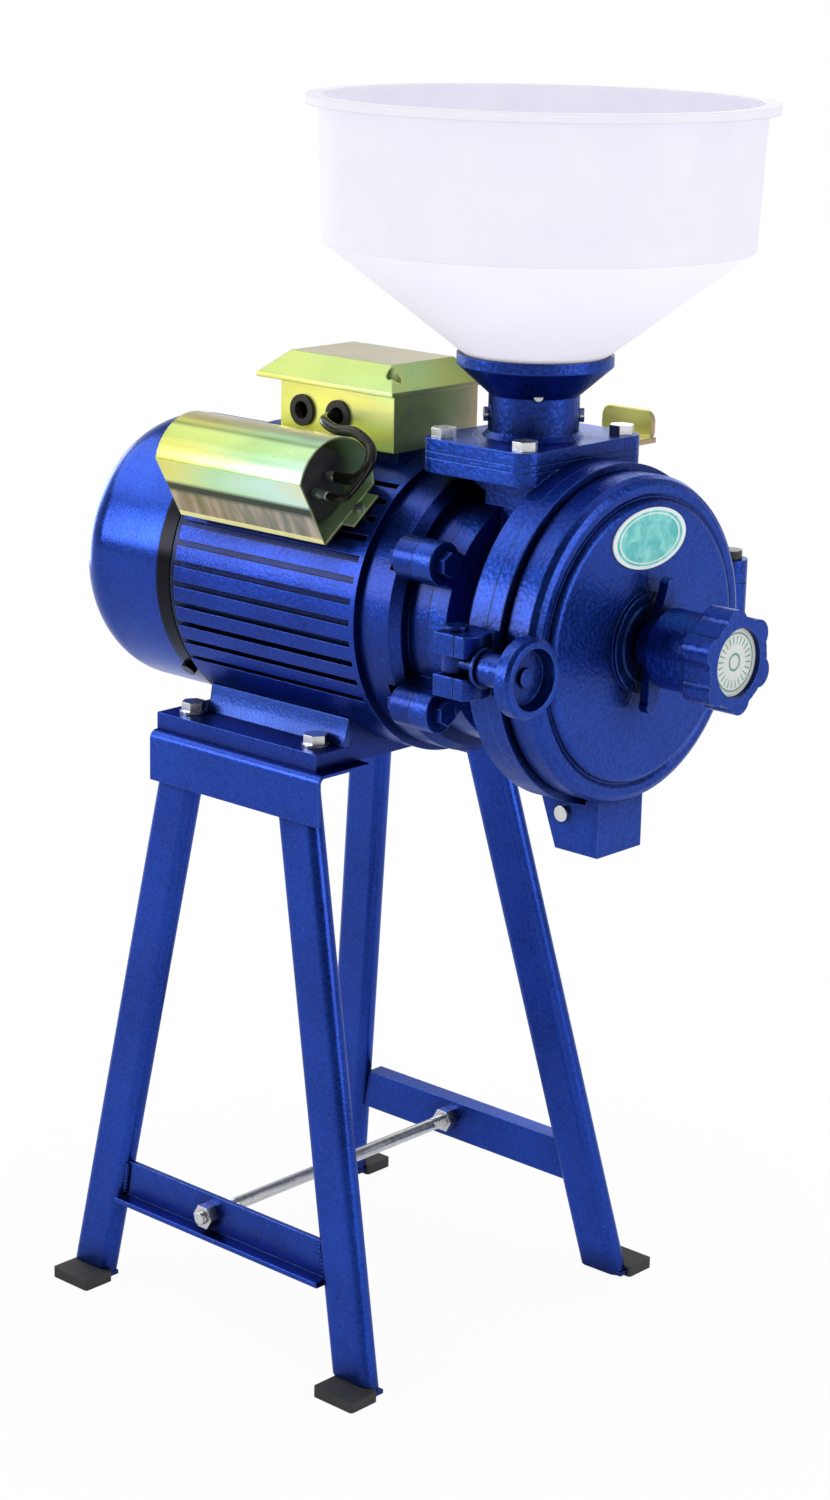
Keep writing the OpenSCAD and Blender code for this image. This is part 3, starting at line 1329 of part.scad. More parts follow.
// Plate between the flanges with a slot, open at the far side, for the gate
module gate_guide() color(paint) placed() translate([0, 0, flange_top_z]) difference() {
    slot_y0 = -tube_bore - 6;
    linear_extrude(guide_t) rounded(throat_l, throat_w, throat_corner);
    translate([-gate_w / 2 - gate_gap, slot_y0, -cut])
        cube([gate_w + 2 * gate_gap, throat_w, guide_t + 2 * cut]);
    translate([0, 0, -flange_top_z])
        throat_bolt_rods(flange_top_z - cut, throat_z + cut, throat_bolt_d / 2 + seat);
}

module feed_gate() color(zinc) placed() translate([0, -gate_in, flange_top_z + gate_gap]) {
    translate([-gate_w / 2, 0, 0]) cube([gate_w, gate_l, gate_t]);
    translate([4, gate_l, tab_h / 2]) rotate([90, 0, 0])
        linear_extrude(gate_t) rounded(tab_w, tab_h, tab_round);
}

tab_round = tab_h * 0.35;
hopper_screw_d = 5;

// Radial rods on the lines of the hopper's set screws: two in the tube, one in the flare
module hopper_screw_rods(r) {
    for (a = [45, 225]) rotate(a) translate([tube_bore - 1, 0, tube_z + tube_h / 2]) rotate([0, 90, 0])
        cylinder(h = tube_r - tube_bore + 1, r = r);
    rotate(-45) translate([tube_bore - 1, 0, flare_z + 2]) rotate([0, 90, 0])
        cylinder(h = tube_r - tube_bore + 3, r = r);
}

module hopper_screws() color(steel) placed() {
    screw_head = 2.5;
    intersection() {
        hopper_screw_rods(hopper_screw_d / 2);
        difference() {
            translate([0, 0, tube_z]) cylinder(h = tube_h * 2, r = cup_r);
            translate([0, 0, tube_z]) cylinder(h = tube_h * 2, r = neck_out_r + seat);
        }
    }
    for (a = [45, 225]) rotate(a) translate([tube_r, 0, tube_z + tube_h / 2]) rotate([0, 90, 0])
        cylinder(h = screw_head, r = hopper_screw_d * 0.8);
}

// Moulded funnel: lip, near-upright wall, cone and neck
module hopper() color("white") placed() rotate_extrude() polygon([
    [neck_out_r - hopper_t, hopper_z0], [neck_out_r, hopper_z0], [neck_out_r, cone_foot_z],
    [hopper_low_r, cone_top_z], [hopper_r, lip_top_z - lip_t], [lip_r, lip_top_z - lip_t],
    [lip_r, lip_top_z], [hopper_r - hopper_t, lip_top_z],
    [hopper_low_r - hopper_t, cone_top_z + hopper_t * 0.6],
    [neck_out_r - hopper_t, cone_foot_z + hopper_t * 0.6]
]);

module cover_badge() color("mediumturquoise") placed()
    drawn_x(cover_front_x, cover_front_x + 0.8)
        polygon([
            for (a = [0 : 5 : 355]) [badge_w / 2 * cos(a), axis_z + badge_z + badge_h / 2 * sin(a)]
        ]);

near_rail();
far_rail();
near_rear_leg();
near_front_leg();
far_rear_leg();
far_front_leg();
near_cross_bar();
far_cross_bar();
tie_rod();
tie_rod_nuts();
rubber_boots();
foot_bolts();
motor_frame();
front_end_shield();
rear_end_shield();
stator_core();
stator_windings();
front_bearing();
rear_bearing();
fan_cover();
fan_cover_screws();
flange_bolts();
motor_shaft();
rotor_core();
cooling_fan();
feed_auger();
terminal_box();
terminal_box_lid();
lid_screws();
cable_grommets();
run_capacitor();
capacitor_cover();
capacitor_screws();
capacitor_leads();
mill_body();
mill_cover();
fixed_disc();
disc_screws();
moving_disc();
disc_carrier();
disc_spring();
thrust_ball();
adjusting_screw();
wing_lock_nut();
adjusting_knob();
knob_cap();
hinge_pin();
swing_bolt();
pivot_pin();
clamp_washer();
hand_nut();
outlet_chute();
chute_screws();
feed_throat();
throat_bolts();
gate_guide();
feed_gate();
hopper();
hopper_screws();
cover_badge();
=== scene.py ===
# %% [markdown]
# # An electric disc mill for coffee and grain
# The machine is a foot-mounted motor on a splayed stand. Its shaft drives an auger and a grinding disc in a
# cast head, and beans run down to them from a white hopper. The main pieces come from a solid model, which
# is loaded here as a fixed frame. It could be drawn again by hand, but then nothing would fit its joints.

# %% Load the solid model
import json
import math

import bpy
import numpy as np
from mathutils import Matrix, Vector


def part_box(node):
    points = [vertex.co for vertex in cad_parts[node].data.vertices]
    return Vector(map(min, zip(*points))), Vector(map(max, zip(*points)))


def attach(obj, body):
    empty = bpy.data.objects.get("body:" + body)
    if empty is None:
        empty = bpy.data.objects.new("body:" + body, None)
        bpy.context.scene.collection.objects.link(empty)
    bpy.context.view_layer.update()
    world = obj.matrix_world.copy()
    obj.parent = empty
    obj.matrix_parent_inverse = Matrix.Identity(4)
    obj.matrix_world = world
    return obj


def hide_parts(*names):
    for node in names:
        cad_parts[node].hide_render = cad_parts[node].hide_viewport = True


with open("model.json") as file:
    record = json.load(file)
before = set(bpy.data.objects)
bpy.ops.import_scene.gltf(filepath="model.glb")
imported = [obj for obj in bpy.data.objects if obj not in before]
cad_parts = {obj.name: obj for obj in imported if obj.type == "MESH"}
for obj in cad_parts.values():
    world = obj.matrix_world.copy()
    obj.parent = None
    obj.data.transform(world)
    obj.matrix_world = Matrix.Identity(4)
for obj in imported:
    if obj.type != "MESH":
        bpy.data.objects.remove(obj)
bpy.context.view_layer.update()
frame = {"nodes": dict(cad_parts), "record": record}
nodes = frame["nodes"]


def middle(name):
    """The centre of a node's box at rest."""
    lowest, highest = np.array(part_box(name))
    return (lowest + highest) / 2


feed_x = middle("hopper")[0]
shaft_z = middle("motor_shaft")[2]

# %% [markdown]
# ## The camera
# The picture was taken from the mill's front left, a little above its shaft, with a fairly long lens. The
# camera's place could be found by eye. Here it was fitted to points of the machine that can be read in the
# photograph, so the straight edges of rails, legs and box fall close to those seen there.

# %% Place the camera
eye = np.array([feed_x + 1.07105, -1.27583, 0.82291])
back = np.array([0.6460, -0.7147, 0.2681])
rough_up = np.array([-0.1956, 0.1846, 0.9632])
sensor_mm = 36.0
focal_px = 3068.92
photo_height_px = 1500.0
back /= np.linalg.norm(back)
side = np.cross(rough_up, back)
side /= np.linalg.norm(side)
rise = np.cross(back, side)

camera_lens = bpy.data.cameras.new("photo_camera")
camera_lens.sensor_width = sensor_mm
camera_lens.lens = sensor_mm * focal_px / photo_height_px
camera = bpy.data.objects.new("photo_camera", camera_lens)
turn = np.eye(4)
turn[:3] = np.stack([side, rise, back, eye], axis=-1)
camera.matrix_world = Matrix(turn.tolist())
bpy.context.collection.objects.link(camera)
bpy.context.scene.camera = camera
bpy.context.scene.view_settings.view_transform = "Standard"
print("camera at", np.round(eye, 3).tolist(), "lens", round(camera_lens.lens, 2), "mm")

# %% [markdown]
# ## Shader helpers
# A finish is a small graph of nodes. Each could be wired line by line, but a helper that makes one node,
# sets it and links it keeps every finish short enough to read. A second helper opens a node group, which is
# an effect that several finishes share, such as a rounded edge or hammered enamel.


# %% Helpers for nodes and groups
def place(tree, kind, feeds=None, **settings):
    """Makes one node: settings are its own properties, feeds its inputs, each a value or a node's output."""
    made = tree.nodes.new(kind)
    for name, value in settings.items():
        setattr(made, name, value)
    for key, value in (feeds or {}).items():
        if isinstance(value, bpy.types.NodeSocket):
            tree.links.new(value, made.inputs[key])
        else:
            made.inputs[key].default_value = value
    return made


def open_group(name, takes, gives):
    """A shader node group with named float inputs and typed outputs, and its two end nodes."""
    group = bpy.data.node_groups.new(name, "ShaderNodeTree")
    for label, value in takes:
        socket = group.interface.new_socket(name=label, in_out="INPUT", socket_type="NodeSocketFloat")
        socket.default_value = value
    for label, kind in gives:
        group.interface.new_socket(name=label, in_out="OUTPUT", socket_type=kind)
    return group, place(group, "NodeGroupInput"), place(group, "NodeGroupOutput")


def close_group(group, end, sockets):
    """Links the inner sockets to the group's outputs by name."""
    for label, socket in sockets.items():
        group.links.new(socket, end.inputs[label])


def use_group(tree, group, **values):
    """Places a group in a material with its own values."""
    made = place(tree, "ShaderNodeGroup", node_tree=group)
    for label, value in values.items():
        made.inputs[label].default_value = value
    return made


def ramp(tree, factor, stops):
    """A colour ramp from a list of position and linear colour."""
    made = place(tree, "ShaderNodeValToRGB", {"Fac": factor})
    band = made.color_ramp
    while len(band.elements) < len(stops):
        band.elements.new(0.5)
    for element, (position, colour) in zip(band.elements, stops):
        element.position = position
        element.color = (*colour, 1.0)
    return made.outputs["Color"]


def calc(tree, operation, a, b=0.0, c=0.0, clamp=False):
    """A Math node on values or sockets."""
    return place(tree, "ShaderNodeMath", {0: a, 1: b, 2: c}, operation=operation, use_clamp=clamp).outputs[0]


def blend_colours(tree, factor, a, b, how="MIX"):
    """A Mix node on two colours."""
    made = place(tree, "ShaderNodeMix", data_type="RGBA", blend_type=how)
    for key, value in ((0, factor), (6, a), (7, b)):
        if isinstance(value, bpy.types.NodeSocket):
            tree.links.new(value, made.inputs[key])
        else:
            made.inputs[key].default_value = value if key == 0 else (*value, 1.0)
    return made.outputs[2]


def map_range(tree, value, from_low, from_high, to_low=0.0, to_high=1.0, interpolation="LINEAR"):
    """A value moved from one range to another and held inside the second."""
    feeds = {"Value": value, 1: from_low, 2: from_high, 3: to_low, 4: to_high}
    return place(tree, "ShaderNodeMapRange", feeds, interpolation_type=interpolation).outputs[0]


def object_spot(tree):
    """The point that is shaded, in the machine's own coordinates."""
    return place(tree, "ShaderNodeTexCoord").outputs["Object"]


def split(tree, vector):
    """The three parts of a vector."""
    return place(tree, "ShaderNodeSeparateXYZ", {0: vector}).outputs


print("shader helpers ready")

# %% [markdown]
# ## Rounded edges
# No real casting or sheet has a knife edge: paint pools on it, light catches it and handling rubs it
# bright. The solids could be bevelled one by one. Instead a Bevel node turns the normal near every edge,
# and where it differs from the flat face's own normal it also gives a mask of the edges, for wear.

# %% Group for rounded and worn edges
edge_group, edge_in, edge_out = open_group(
    "rounded_edge", [("Width", 0.0008), ("Rub", 2.5)],
    [("Normal", "NodeSocketVector"), ("Edge", "NodeSocketFloat")])
bevel = place(edge_group, "ShaderNodeBevel", {"Radius": edge_in.outputs["Width"]}, samples=6)
flat = place(edge_group, "ShaderNodeNewGeometry")
same = place(edge_group, "ShaderNodeVectorMath", {0: bevel.outputs[0], 1: flat.outputs["Normal"]},
             operation="DOT_PRODUCT")
off_face = calc(edge_group, "SUBTRACT", 1.0, same.outputs["Value"])
edge_mask = calc(edge_group, "MULTIPLY", off_face, edge_in.outputs["Rub"], clamp=True)
close_group(edge_group, edge_out, {"Normal": bevel.outputs[0], "Edge": edge_mask})
print("group", edge_group.name)

# %% [markdown]
# ## Hammered enamel
# The stand, motor and head wear a metallic blue enamel with a hammered look: small smooth blisters with
# darker seams between them, coarse on the castings and fine on pressed sheet. A picture of paint could be
# wrapped round, but cells worked out in space need no unwrapping and keep their real size on every piece.

# %% Group for hammered enamel
enamel_group, enamel_in, enamel_out = open_group(
    "hammered_enamel", [("Cells", 420.0), ("Cloud", 14.0)],
    [("Tone", "NodeSocketFloat"), ("Height", "NodeSocketFloat")])
where = object_spot(enamel_group)
stray_reach = (0.0022, 0.0022, 0.0022)
stray = place(enamel_group, "ShaderNodeTexNoise", {"Vector": where, "Scale": 160.0, "Detail": 2.0})
bent = place(enamel_group, "ShaderNodeVectorMath", {0: stray.outputs["Color"], 1: stray_reach},
             operation="MULTIPLY")
moved = place(enamel_group, "ShaderNodeVectorMath", {0: where, 1: bent.outputs[0]}, operation="ADD")
cells = place(enamel_group, "ShaderNodeTexVoronoi",
              {"Vector": moved.outputs[0], "Scale": enamel_in.outputs["Cells"], "Smoothness": 0.7},
              feature="SMOOTH_F1")
cloud = place(enamel_group, "ShaderNodeTexNoise",
              {"Vector": where, "Scale": enamel_in.outputs["Cloud"], "Detail": 4.0, "Roughness": 0.6})
dome = calc(enamel_group, "SUBTRACT", 1.0, cells.outputs["Distance"])
tone = calc(enamel_group, "MULTIPLY_ADD", dome, 0.45,
            calc(enamel_group, "MULTIPLY_ADD", cloud.outputs[0], 0.9, -0.22), clamp=True)
close_group(enamel_group, enamel_out, {"Tone": tone, "Height": dome})
print("group", enamel_group.name)

# %% [markdown]
# ## Painted shade in crevices
# Between fins, under lugs and round bolts shade falls, so these places look almost black, and the enamel is
# darkened there as painted shade. They could be painted by hand. An occlusion node looks around from each
# point instead and finds how much of the near space is filled, and that value darkens the enamel.

# %% Group for crevices
crevice_shade_group, crevice_in, crevice_out = open_group(
    "painted_crevice_shade", [("Reach", 0.014), ("Depth", 1.6)], [("Open", "NodeSocketFloat")])
hollow = place(crevice_shade_group, "ShaderNodeAmbientOcclusion",
               {"Distance": crevice_in.outputs["Reach"]}, samples=5)
open_share = calc(crevice_shade_group, "POWER", hollow.outputs["AO"], crevice_in.outputs["Depth"])
close_group(crevice_shade_group, crevice_out, {"Open": open_share})
print("group", crevice_shade_group.name)

# %% [markdown]
# ## Handling marks
# Fingers, dust and drips change how a surface shines more than what colour it is. Such marks could be
# painted by hand on each piece. One group of two noises, large for smudges and small for dust, serves every
# finish: it gives a value that is added to the roughness and slightly to the colour.

# %% Group for smudges and dust
smudge_group, smudge_in, smudge_out = open_group(
    "handling_marks", [("Size", 26.0), ("Dust", 700.0)],
    [("Smudge", "NodeSocketFloat"), ("Speck", "NodeSocketFloat")])
spot = object_spot(smudge_group)
wide = place(smudge_group, "ShaderNodeTexNoise",
             {"Vector": spot, "Scale": smudge_in.outputs["Size"], "Detail": 5.0, "Distortion": 0.8})
fine = place(smudge_group, "ShaderNodeTexNoise",
             {"Vector": spot, "Scale": smudge_in.outputs["Dust"], "Detail": 2.0})
smudge = map_range(smudge_group, wide.outputs[0], 0.38, 0.68)
speck = map_range(smudge_group, fine.outputs[0], 0.6, 0.75)
close_group(smudge_group, smudge_out, {"Smudge": smudge, "Speck": speck})
print("group", smudge_group.name)

# %% [markdown]
# ## Yellow passivated zinc
# Terminal box, lid, capacitor cover and feed gate are zinc plated and passivated. The film is thinner than a
# wavelength of light, so its colour wanders from straw to mint and rose. True interference would change with
# the viewer. Here a stretched noise walks along a ramp of those tints. On top of it the way a face looks, up,
# forward or down, lays a painted reflection: beige on top, dark olive to rose in front, green on slants and
# streaked rose on low faces below a fold, with a painted shade at the fold and a painted highlight on the hem
# under it. Light and dark bands by the lean of each face are painted reflections too.

# %% Group for passivated zinc and painted reflections
no_fold, no_hem = 9.0, 99.0
zinc_film_and_reflection_group, zinc_in, zinc_out = open_group(
    "zinc_film_and_painted_reflections", [("Bands", 17.0), ("Start", 0.3), ("Slide", 0.0), ("Fold", no_fold), ("Hem", no_hem)],
    [("Tint", "NodeSocketColor"), ("Rough", "NodeSocketFloat"), ("Height", "NodeSocketFloat")])
spot = object_spot(zinc_film_and_reflection_group)
along, over, level = split(zinc_film_and_reflection_group, spot)
drawn = place(zinc_film_and_reflection_group, "ShaderNodeMapping", {"Vector": spot, "Scale": (0.16, 1.0, 1.3)})
film = place(zinc_film_and_reflection_group, "ShaderNodeTexNoise", {
    "Vector": drawn.outputs[0], "Scale": zinc_in.outputs["Bands"], "Detail": 3.0, "Distortion": 0.7})
facing = place(zinc_film_and_reflection_group, "ShaderNodeNewGeometry").outputs["Normal"]
ahead, sideways, upward = split(zinc_film_and_reflection_group, facing)
walk = calc(zinc_film_and_reflection_group, "MULTIPLY_ADD", along, zinc_in.outputs["Slide"], zinc_in.outputs["Start"])
wander = calc(zinc_film_and_reflection_group, "SUBTRACT", film.outputs[0], 0.5)
walk = calc(zinc_film_and_reflection_group, "MULTIPLY_ADD", wander, 1.1, walk, clamp=True)
tint = ramp(zinc_film_and_reflection_group, walk, [
    (0.0, (0.62, 0.66, 0.10)), (0.2, (0.80, 0.78, 0.22)), (0.42, (0.52, 0.82, 0.46)),
    (0.62, (0.66, 0.92, 0.80)), (0.78, (0.86, 0.80, 0.44)), (0.9, (0.78, 0.62, 0.46)),
    (1.0, (0.66, 0.44, 0.38))])

# Streaked rose on low faces below the fold is a painted reflection.
streak_map = place(zinc_film_and_reflection_group, "ShaderNodeMapping",
             {"Vector": spot, "Rotation": (0.0, 0.7, 0.0), "Scale": (150.0, 40.0, 26.0)})
streak_noise = place(zinc_film_and_reflection_group, "ShaderNodeTexNoise", {"Vector": streak_map.outputs[0], "Scale": 1.0, "Detail": 3.0})
painted_low_reflection = ramp(zinc_film_and_reflection_group, streak_noise.outputs[0], [
    (0.3, (0.10, 0.09, 0.05)), (0.5, (0.24, 0.16, 0.14)), (0.7, (0.46, 0.36, 0.30))])
# Dark olive to rose on faces that look forward is a painted reflection.
front_reflection_place = calc(zinc_film_and_reflection_group, "MULTIPLY_ADD", over, 9.0, film.outputs[0], clamp=True)
painted_front_reflection = ramp(zinc_film_and_reflection_group, front_reflection_place, [
    (0.2, (0.16, 0.26, 0.09)), (0.45, (0.09, 0.15, 0.12)),
    (0.65, (0.14, 0.14, 0.15)), (0.85, (0.36, 0.22, 0.20))])
# A painted shade at the fold, a painted highlight on the hem under it, and painted reflections on top and
# slanted faces.
painted_fold_shade, painted_hem_highlight = (0.02, 0.03, 0.015), (0.92, 0.88, 0.40)
painted_top_reflection, painted_slant_reflection = (0.58, 0.50, 0.38), (0.34, 0.50, 0.12)

low_face = map_range(zinc_film_and_reflection_group, upward, -0.1, -0.35, 0.0, 0.85)
top_face = map_range(zinc_film_and_reflection_group, upward, 0.93, 1.0, 0.0, 0.85)
front_face = map_range(zinc_film_and_reflection_group, ahead, 0.6, 0.95, 0.0, 0.85)
slant_face = calc(zinc_film_and_reflection_group, "MULTIPLY", map_range(zinc_film_and_reflection_group, upward, 0.55, 0.65, 0.0, 0.6),
                  map_range(zinc_film_and_reflection_group, upward, 0.8, 0.9, 1.0, 0.0))
under = calc(zinc_film_and_reflection_group, "SUBTRACT", zinc_in.outputs["Fold"], level)
past_fold = map_range(zinc_film_and_reflection_group, under, 0.0, 0.003)
at_fold = map_range(zinc_film_and_reflection_group, calc(zinc_film_and_reflection_group, "ABSOLUTE", under), 0.004, 0.0015, 0.0, 1.15)
at_hem = calc(zinc_film_and_reflection_group, "GREATER_THAN", under, zinc_in.outputs["Hem"])
for mask, laid in ((past_fold, painted_low_reflection), (at_fold, painted_fold_shade), (at_hem, painted_hem_highlight)):
    tint = blend_colours(zinc_film_and_reflection_group, calc(zinc_film_and_reflection_group, "MULTIPLY", low_face, mask), tint, laid)
for mask, laid in ((top_face, painted_top_reflection), (front_face, painted_front_reflection), (slant_face, painted_slant_reflection)):
    tint = blend_colours(zinc_film_and_reflection_group, mask, tint, laid)

# Light and dark bands by how far a face turns from the near side up to the top are painted reflections.
lean = calc(zinc_film_and_reflection_group, "ARCTAN2", upward, calc(zinc_film_and_reflection_group, "MULTIPLY", sideways, -1.0))
bare = (1.0, 1.0, 1.0)
painted_reflection_bands = ramp(zinc_film_and_reflection_group, calc(zinc_film_and_reflection_group, "DIVIDE", lean, math.pi / 2, clamp=True), [
    (0.0, bare), (0.12, bare), (0.16, (0.24, 0.28, 0.12)), (0.20, (0.70, 0.72, 0.70)),
    (0.60, (0.70, 0.72, 0.70)), (0.66, (0.24, 0.30, 0.18)), (0.74, (0.80, 0.80, 0.82)), (1.0, bare)])
tint = blend_colours(zinc_film_and_reflection_group, 1.0, tint, painted_reflection_bands, "MULTIPLY")
lines = place(zinc_film_and_reflection_group, "ShaderNodeMapping", {"Vector": spot, "Scale": (40.0, 900.0, 900.0)})
rolled = place(zinc_film_and_reflection_group, "ShaderNodeTexNoise", {"Vector": lines.outputs[0], "Scale": 1.0, "Detail": 2.0})
rough = calc(zinc_film_and_reflection_group, "MULTIPLY_ADD", rolled.outputs[0], 0.2, 0.2)
close_group(zinc_film_and_reflection_group, zinc_out, {"Tint": tint, "Rough": rough, "Height": rolled.outputs[0]})
print("group", zinc_film_and_reflection_group.name)

# %% [markdown]
# ## Finishes in blue enamel
# Each painted slot has its own enamel, because paint lies differently on a rough casting, a finned frame,
# drawn sheet and rolled tube. Three more are painted light: a darker blue as painted shade, a paler blue as
# painted highlight and an almost black one as painted shadow. A plain blue would look like plastic. Metal
# flake under clear lacquer makes faces that look at the light bright and the others almost navy, so the
# paint is mostly metal with a thin coat.


# %% Make the enamel finishes
def start_finish(name):
    """An empty material with its shader and output."""
    finish = bpy.data.materials.new(name)
    finish.use_nodes = True
    tree = finish.node_tree
    tree.nodes.clear()
    shader = place(tree, "ShaderNodeBsdfPrincipled")
    out = place(tree, "ShaderNodeOutputMaterial")
    tree.links.new(shader.outputs[0], out.inputs["Surface"])
    return finish, tree, shader


def relief(tree, shader, height, depth, scale, normal=None):
    """A bump of the given depth in metres on top of a normal."""
    feeds = {"Height": height, "Strength": depth, "Distance": scale}
    if normal is not None:
        feeds["Normal"] = normal
    bump = place(tree, "ShaderNodeBump", feeds)
    tree.links.new(bump.outputs[0], shader.inputs["Normal"])


rubbed_blue, dust_grey = (0.12, 0.26, 0.78), (0.45, 0.5, 0.6)
crevice_shade_navy, painted_shadow_black = (0.0008, 0.002, 0.018), (0.0008, 0.0008, 0.002)
band_blur = 0.0015


def enamel(name, deep, bright, cells, depth, edge=0.0009, shine=0.30, shadow_band_from=None):
    """Hammered metallic enamel between two blues, with cells per metre, bump depth and width of rounded
    edges, and crevices darkened as painted shade; where X is above shadow_band_from the paint is black as a
    painted shadow."""
    finish, tree, shader = start_finish(name)
    coat = use_group(tree, enamel_group, Cells=cells, Cloud=11.0)
    rim = use_group(tree, edge_group, Width=edge, Rub=2.2)
    marks = use_group(tree, smudge_group, Size=21.0, Dust=620.0)
    paint = blend_colours(tree, coat.outputs["Tone"], deep, bright)
    worn = calc(tree, "MULTIPLY", rim.outputs["Edge"], 0.5)
    dusty = calc(tree, "MULTIPLY", marks.outputs["Speck"], 0.05)
    # Crevices are darkened towards navy as painted shade.
    crevice = use_group(tree, crevice_shade_group, Reach=0.022, Depth=1.8)
    shut = calc(tree, "SUBTRACT", 1.0, crevice.outputs["Open"])
    for mask, laid in ((worn, rubbed_blue), (dusty, dust_grey), (shut, crevice_shade_navy)):
        paint = blend_colours(tree, mask, paint, laid)
    # Near the fan cover's front edge the paint turns black as a painted shadow where the cover meets the fins.
    if shadow_band_from is not None:
        along = split(tree, object_spot(tree))[0]
        band = map_range(tree, along, shadow_band_from, shadow_band_from + band_blur)
        paint = blend_colours(tree, band, paint, painted_shadow_black)
    tree.links.new(paint, shader.inputs["Base Color"])
    gloss = calc(tree, "MULTIPLY_ADD", marks.outputs["Smudge"], 0.10, shine)
    gloss = calc(tree, "MULTIPLY_ADD", coat.outputs["Tone"], 0.08, gloss)
    tree.links.new(gloss, shader.inputs["Roughness"])
    shader.inputs["Metallic"].default_value = 0.92
    shader.inputs["Specular Tint"].default_value = (0.7, 0.78, 1.0, 1.0)
    shader.inputs["Coat Weight"].default_value = 0.15
    shader.inputs["Coat Roughness"].default_value = 0.2
    relief(tree, shader, coat.outputs["Height"], depth, 0.0006, rim.outputs["Normal"])
    return finish


navy, royal = (0.003, 0.014, 0.14), (0.015, 0.074, 0.52)
frame_navy, frame_royal = (0.0025, 0.011, 0.12), (0.012, 0.058, 0.46)
cast_navy, cast_royal = (0.003, 0.015, 0.14), (0.016, 0.074, 0.49)
# The last 12 mm of the fan cover towards the fins are black as a painted shadow.
shadow_band_width = 0.012
shadow_band_start = float(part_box("fan_cover")[1][0]) - shadow_band_width
finishes = {
    "stand_paint": enamel("stand_enamel", navy, royal, 620.0, 0.14, shine=0.24),
    "motor_paint": enamel("motor_enamel", frame_navy, frame_royal, 520.0, 0.25, edge=0.0008),
    "sheet_paint": enamel("sheet_enamel", navy, royal, 700.0, 0.05, 0.0012, 0.17, shadow_band_start),
    "cast_paint": enamel("cast_enamel", cast_navy, cast_royal, 400.0, 0.5, edge=0.0014),
}
# Three enamels of painted light: a darker blue as painted shade, a paler blue as painted highlight and a near
# black as painted shadow.
painted_shade_enamel = enamel("painted_shade_enamel", (0.002, 0.009, 0.09), (0.009, 0.046, 0.36), 520.0, 0.25)
painted_highlight_enamel = enamel("painted_highlight_enamel", (0.014, 0.045, 0.28), (0.04, 0.12, 0.6), 520.0, 0.2)
shadow_enamel = enamel("painted_slot_shadow", (0.004, 0.006, 0.02), (0.012, 0.02, 0.08), 520.0, 0.2)
print("enamels", sorted(finishes))

# %% [markdown]
# ## Finishes in metal
# Bright steel, hardened iron, lamination and wire differ in colour, in how rough they are and in the way
# they were worked. They could be four unrelated materials. One function makes them all from the same noise,
# even or stretched or squeezed along the shaft, and only the numbers change.


# %% Make the metal finishes
def bare_metal(name, dark, light, rough, streak, depth=0.12, edge=0.0004):
    """Metal between two tints, its streaks stretched by the three factors in streak."""
    finish, tree, shader = start_finish(name)
    spot = object_spot(tree)
    drawn = place(tree, "ShaderNodeMapping", {"Vector": spot, "Scale": streak})
    lines = place(tree, "ShaderNodeTexNoise", {"Vector": drawn.outputs[0], "Scale": 1.0, "Detail": 4.0})
    rim = use_group(tree, edge_group, Width=edge, Rub=2.0)
    marks = use_group(tree, smudge_group, Size=70.0, Dust=900.0)
    tint = blend_colours(tree, lines.outputs[0], dark, light)
    tint = blend_colours(tree, calc(tree, "MULTIPLY", rim.outputs["Edge"], 0.35), tint, (0.9, 0.9, 0.9))
    tree.links.new(tint, shader.inputs["Base Color"])
    gloss = calc(tree, "MULTIPLY_ADD", lines.outputs[0], 0.16, rough)
    gloss = calc(tree, "MULTIPLY_ADD", marks.outputs["Smudge"], 0.08, gloss)
    tree.links.new(gloss, shader.inputs["Roughness"])
    shader.inputs["Metallic"].default_value = 1.0
    relief(tree, shader, lines.outputs[0], depth, 0.0002, rim.outputs["Normal"])
    return finish


even, turned = (300.0, 300.0, 300.0), (60.0, 420.0, 420.0)
stacked, wound = (2000.0, 8.0, 8.0), (40.0, 900.0, 900.0)
finishes["steel"] = bare_metal("bright_zinc_steel", (0.50, 0.51, 0.52), (0.72, 0.73, 0.74), 0.2, even)
finishes["hard_iron"] = bare_metal("ground_iron", (0.20, 0.20, 0.21), (0.36, 0.36, 0.37), 0.34, turned)
finishes["lamination"] = bare_metal("steel_sheets", (0.22, 0.22, 0.23), (0.38, 0.38, 0.39), 0.36, stacked)
finishes["copper"] = bare_metal("varnished_wire", (0.42, 0.17, 0.07), (0.70, 0.36, 0.18), 0.3, wound, 0.5)


def zinc_sheet(name, start, slide, fold=no_fold, hem=no_hem):
    """Passivated sheet whose tint starts at a place on the ramp and slides along it per metre of X. Face
    directions lay painted reflections on it; on low faces a streaked painted reflection starts below the
    height of the fold, a painted shade lies at the fold and a painted highlight a given depth under it."""
    finish, tree, shader = start_finish(name)
    film = use_group(tree, zinc_film_and_reflection_group, Bands=17.0, Start=start, Slide=slide, Fold=fold, Hem=hem)
    rim = use_group(tree, edge_group, Width=0.0011, Rub=2.2)
    marks = use_group(tree, smudge_group, Size=30.0, Dust=800.0)
    bright = calc(tree, "MULTIPLY", rim.outputs["Edge"], 0.7)
    tint = blend_colours(tree, bright, film.outputs["Tint"], (0.95, 0.88, 0.36))
    tree.links.new(tint, shader.inputs["Base Color"])
    gloss = calc(tree, "MULTIPLY_ADD", marks.outputs["Smudge"], 0.09, film.outputs["Rough"])
    tree.links.new(gloss, shader.inputs["Roughness"])
    shader.inputs["Metallic"].default_value = 0.7
    relief(tree, shader, film.outputs["Height"], 0.1, 0.0002, rim.outputs["Normal"])
    return finish


